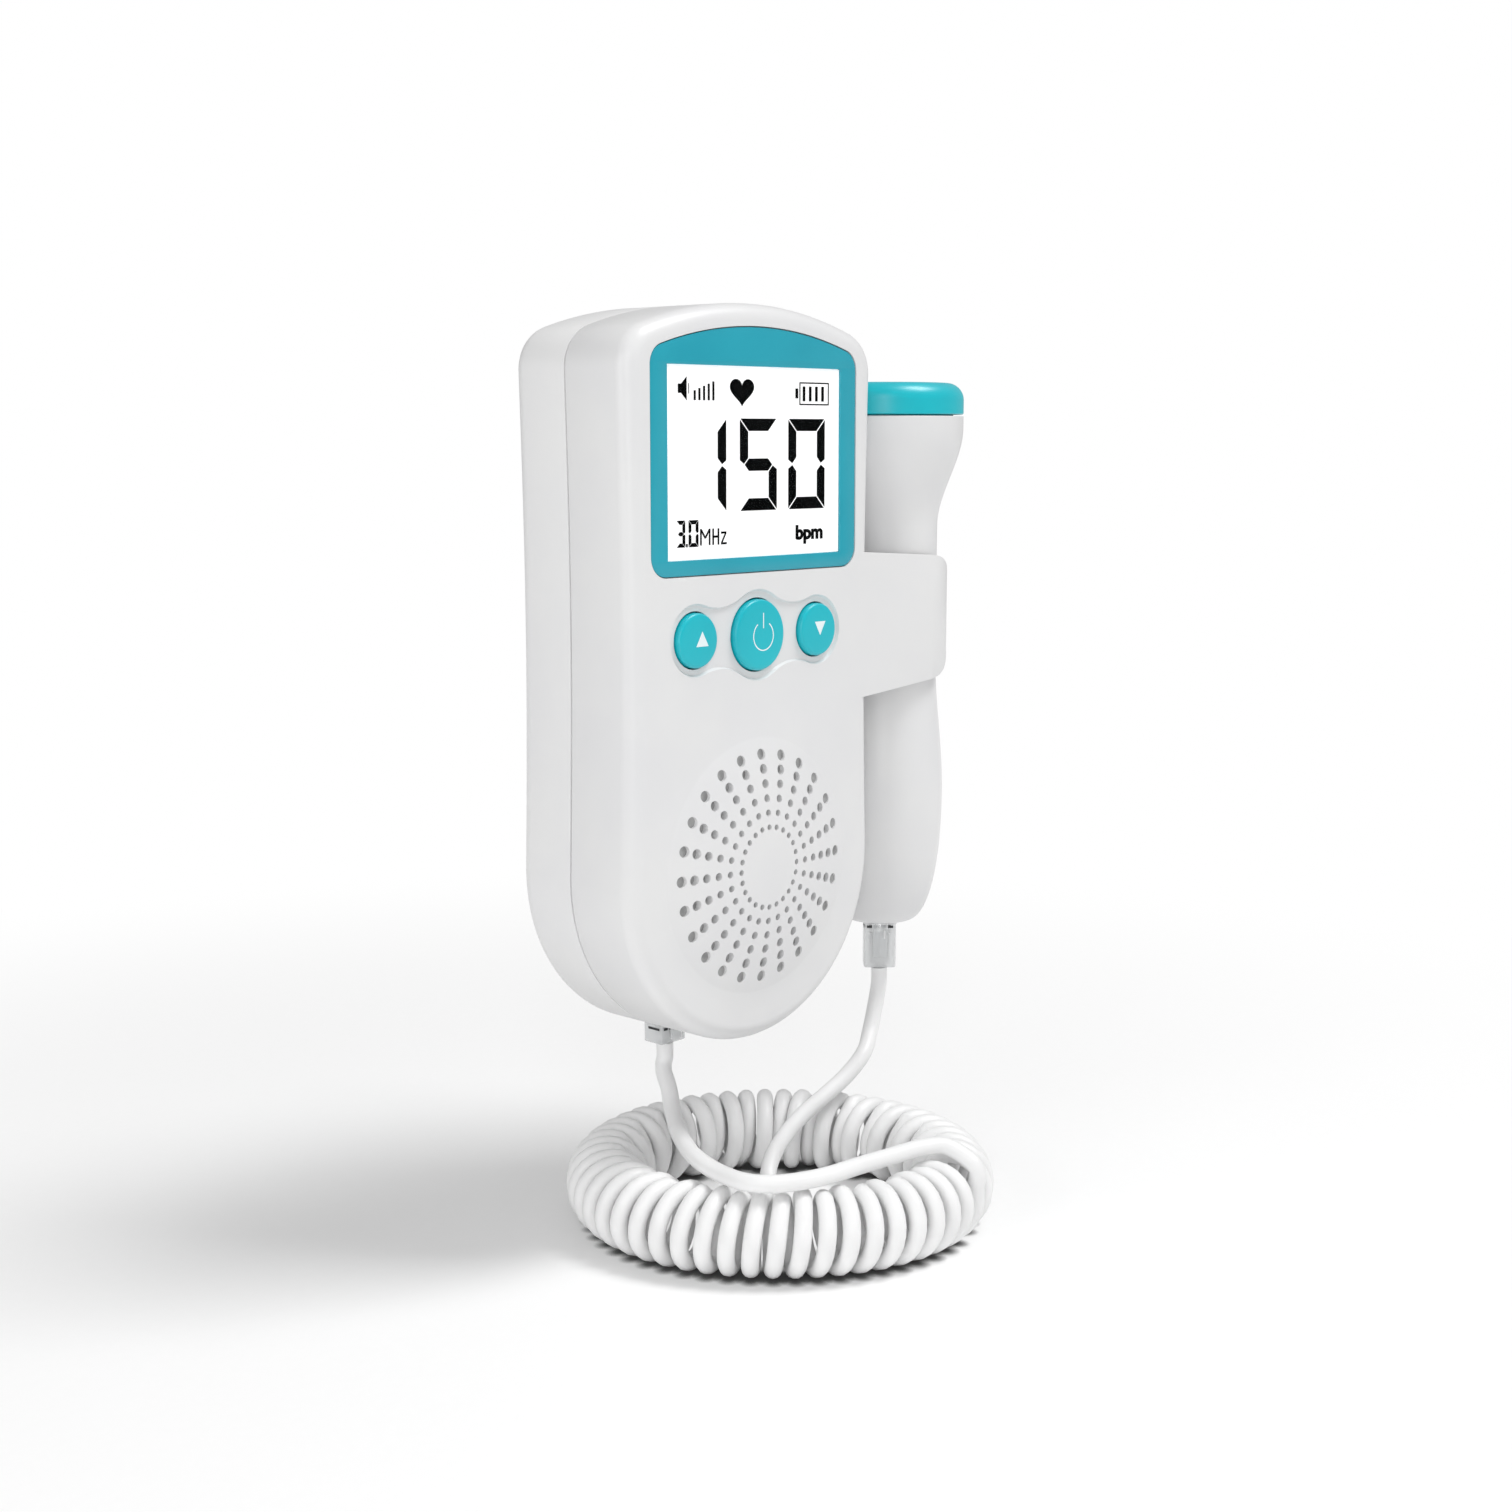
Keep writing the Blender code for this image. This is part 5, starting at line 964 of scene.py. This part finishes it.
def modular_plug(name, x, y, low, mouth, turn, body, jacket_length):
    """A clear plug, its latch, its contacts and the jacket in it, turned about its upright line."""
    front, top = y - 2.5 * MM, low + PLUG_LENGTH
    bar = low + (mouth - low) * 0.55 if body == "unit" else mouth - 1.7
    latch_top = mouth - 0.3
    latch_low = latch_top - (mouth - low) * 0.72

    def part(kind, left, right, near, far, foot, head, edge=0.0, steps=1):
        """A block, in mm across and in from the middle of the plug's front and up from the origin."""
        return block(kind, (x + left * MM, front + near * MM, foot * MM),
                     (x + right * MM, front + far * MM, head * MM), edge * MM, steps)

    def row(kind, pitch, half, *rest):
        """One block for each core."""
        middles = [pitch * (i - (CORES - 1) / 2) for i in range(CORES)]
        return [part(kind, middle - half, middle + half, *rest) for middle in middles]

    shell = carve(part(name + "_body", -PLUG_HALF, PLUG_HALF, 0, 5, low, top, 0.45, 3), [
        (together("slots", row("slot", 1.3, 0.25, -1, 0.6, top - 7, top + 1)), CUT),
        (part("latch", -1.5, 1.5, -1.2, -0.5, latch_low, latch_top, 0.15, 2), ADD),
        (part("root", -1.5, 1.5, -0.85, 1, latch_top - 1, latch_top - 0.15), ADD)])
    contacts = row("contact", 1.3, 0.18, 0.1, 0.5, mouth + 0.6, top - 0.6, 0.05)
    jacket = part(name + "_jacket", -2.1, 2.1, 1.4, 3.6, low + 0.2, low + jacket_length, 0.9, 4)
    # Painted shade: the dark bars on the plug's front and left side are no real parts; they stand for the
    # shade in the clear moulding's slots.
    painted_shades = row("painted_slot_shade", 1.45, 0.55, -0.03, 0.3, bar, bar + 0.55, 0.05)
    painted_shades.append(part("painted_side_shade", -3.33, -3.0, 0.6, 3.7, bar, bar + 0.5, 0.05))
    rib = part(name + "_latch_rib", 0.7, 1.05, -1.24, -0.9, bar - 2, bar - 0.2, 0.05)
    for piece, finish, slot, *stood_for in (
            (together(name + "_painted_shade_bars", painted_shades), DARK_ABS, "dark_plastic"),
            (rib, WHITE_ABS, "white_abs"), (shell, CLEAR, "plug_grey", name),
            (together(name + "_contacts", contacts), GOLD, "plated_steel"),
            (jacket, CORD_PVC, "cord_white")):
        piece.data.transform(about(x, y, turn))
        dress(piece, finish, body, slot, *stood_for)

modular_plug("unit_plug", 0.0, behind(24.8), -72.5, -67.5, 0.0, "unit", 4)
modular_plug("probe_plug", PROBE_X, PROBE_Y, -64.7, -54.6, CLIP_TIP, "probe", 7)
rim = block("probe_socket_rim", mm(-3.45, -2.7, -55.4), mm(3.45, 2.7, -54.55), 0.2 * MM)
rim.data.transform(PROBE_PLACE)
dress(rim, WHITE_ABS, "probe", "white_abs")
print("plugs: %.1f mm wide" % (2 * PLUG_HALF))

# %% [markdown]
# The inner parts keep their CAD shapes: they show only when the cover is off or through small
# gaps. They still get the finish of the real thing: nickel-plated steel with fine draw lines,
# a green board with its solder resist, printed film on the cells, and fired ceramic.

# %% Finishes of the inner parts
STEEL, tree, shader, place = new_finish("nickel_plated_steel_drawn")
stretch = add_node(tree, "Mapping", {"Vector": place, "Scale": (1.0, 12.0, 12.0)})
draw_lines = noise(tree, stretch.outputs["Vector"], 3 * MM, 3.0)
feed(tree, shader, {"Base Color": linear("#B9BABB"), "Metallic": 1.0,
                    "Roughness": spread(tree, draw_lines, 0.24, 0.42)})

# A cell's film is dark, with one plain band near an end.
FILM, tree, shader, place = new_finish("printed_film_on_cell")
along = add_node(tree, "SeparateXYZ", {"Vector": place}).outputs["X"]
both = add_node(tree, "Mix", {"Factor": combined(tree, "GREATER_THAN", along, 12 * MM),
                              "A": linear("#2B2D30"), "B": linear("#B98A3C")}, data_type="RGBA")
feed(tree, shader, {"Base Color": both.outputs["Result"], "Roughness": 0.28})

INNER = {
    "plated_steel": STEEL,
    "board_green": moulded("glass_epoxy_board_solder_resist", "#1F6B3E", "#195A34", 0.35,
                           grain=0.8 * MM, depth=0.02 * MM, drift=3 * MM),
    "dark_plastic": DARK_ABS,
    "cell_wrapper": FILM,
    "display_white": PANEL,
    "ceramic": moulded("fired_ceramic_disc", "#D9D5C8", "#CFCABB", 0.55, grain=0.4 * MM),
    "damping_rubber": moulded("cast_rubber_block", "#333333", "#2B2B2B", 0.8, grain=0.5 * MM),
}
kept = []
for row in frame["record"]["subparts"]:
    piece = nodes[row["node"]]
    if not piece.hide_render:
        piece.data.materials.clear()
        piece.data.materials.append(INNER[row["material_slot"]])
        shaded(piece)
        kept.append(row["node"])
print("kept CAD pieces:", ", ".join(kept))

# %% [markdown]
# The set is a white sweep. A soft key light high on the right throws the shadow to the left, a
# weak lamp lifts the left side, and a tall strip by the camera draws the light edge down the casing.
# The floor takes the object's shadow near it and fades to plain white further out, so the paper
# needs no extra lamps that would bleach the casing.
#
# The lamps alone leave the paper too pale where the curls touch it. An occlusion term that reaches
# 2 mm darkens it there, so this dark line is partly painted and isn't all cast by the lamps.

# %% Floor and backdrop
CREVICE_REACH = 2 * MM
PAPER = bpy.data.materials.new("white_paper_sweep")
tree = new_tree(PAPER)
place = add_node(tree, "TexCoord").outputs["Object"]
crevice = add_node(tree, "AmbientOcclusion", {"Distance": CREVICE_REACH}).outputs["AO"]
open_share = spread(tree, crevice, 0.12, 1.0, 0.45, 0.95)
tint = combined(tree, "MULTIPLY", spread(tree, noise(tree, place, 2 * MM), 0.94, 0.96), open_share)
paper = add_node(tree, "BsdfDiffuse", {"Color": tint})
blank = add_node(tree, "Emission", {"Color": (1, 1, 1, 1), "Strength": 1.0})
ray = add_node(tree, "LightPath").outputs
seen = combined(tree, "MAXIMUM", ray["Is Camera Ray"], ray["Is Glossy Ray"])
seen = combined(tree, "MAXIMUM", seen, ray["Is Transmission Ray"])
from_middle = add_node(tree, "VectorMath", {0: place}, operation="LENGTH").outputs["Value"]
fade = spread(tree, from_middle, 0.08, 1.0, 0.10, 0.34, interpolation_type="SMOOTHSTEP")
share = combined(tree, "MULTIPLY", combined(tree, "MULTIPLY", seen, fade), open_share)
both = add_node(tree, "MixShader", {"Fac": share, 1: paper.outputs["BSDF"],
                                    2: blank.outputs["Emission"]})
add_node(tree, "OutputMaterial", {"Surface": both.outputs["Shader"]})

made = bmesh.new()
bmesh.ops.create_circle(made, cap_ends=True, segments=96, radius=1.6)
sweep = mesh_piece("paper_sweep", made)
sweep.location = (0, 0, FLOOR)
sweep.data.materials.append(PAPER)
print("floor at %.1f mm" % (FLOOR / MM))

# %% Lights
world = bpy.data.worlds.new("studio_white")
scene.world = world
tree = new_tree(world)
ray = add_node(tree, "LightPath").outputs
seen = combined(tree, "MAXIMUM", ray["Is Camera Ray"], ray["Is Transmission Ray"])
sky = add_node(tree, "Background", {"Color": (1, 1, 1, 1), "Strength": spread(tree, seen, 0.42, 1.0)})
add_node(tree, "OutputWorld", {"Surface": sky.outputs["Background"]})

AIM = Vector((0.02, -0.02, -0.03))

def soft_box(name, place, width, height, power):
    """An area lamp that looks at the middle of the object."""
    light = bpy.data.lights.new(name, "AREA")
    light.shape, light.size, light.size_y, light.energy = "RECTANGLE", width, height, power
    lamp = new_piece(name, light)
    lamp.location = place
    lamp.rotation_euler = (AIM - Vector(place)).to_track_quat("-Z", "Y").to_euler()

soft_box("key_light", (0.477, -0.512, 1.212), 0.5, 0.5, 12.0)
soft_box("side_light", (-1.0, -0.1, 0.27), 0.5, 0.5, 2.2)
soft_box("strip_by_camera", (-0.54, -0.52, 0.2), 0.15, 0.6, 1.2)
print("lights set")
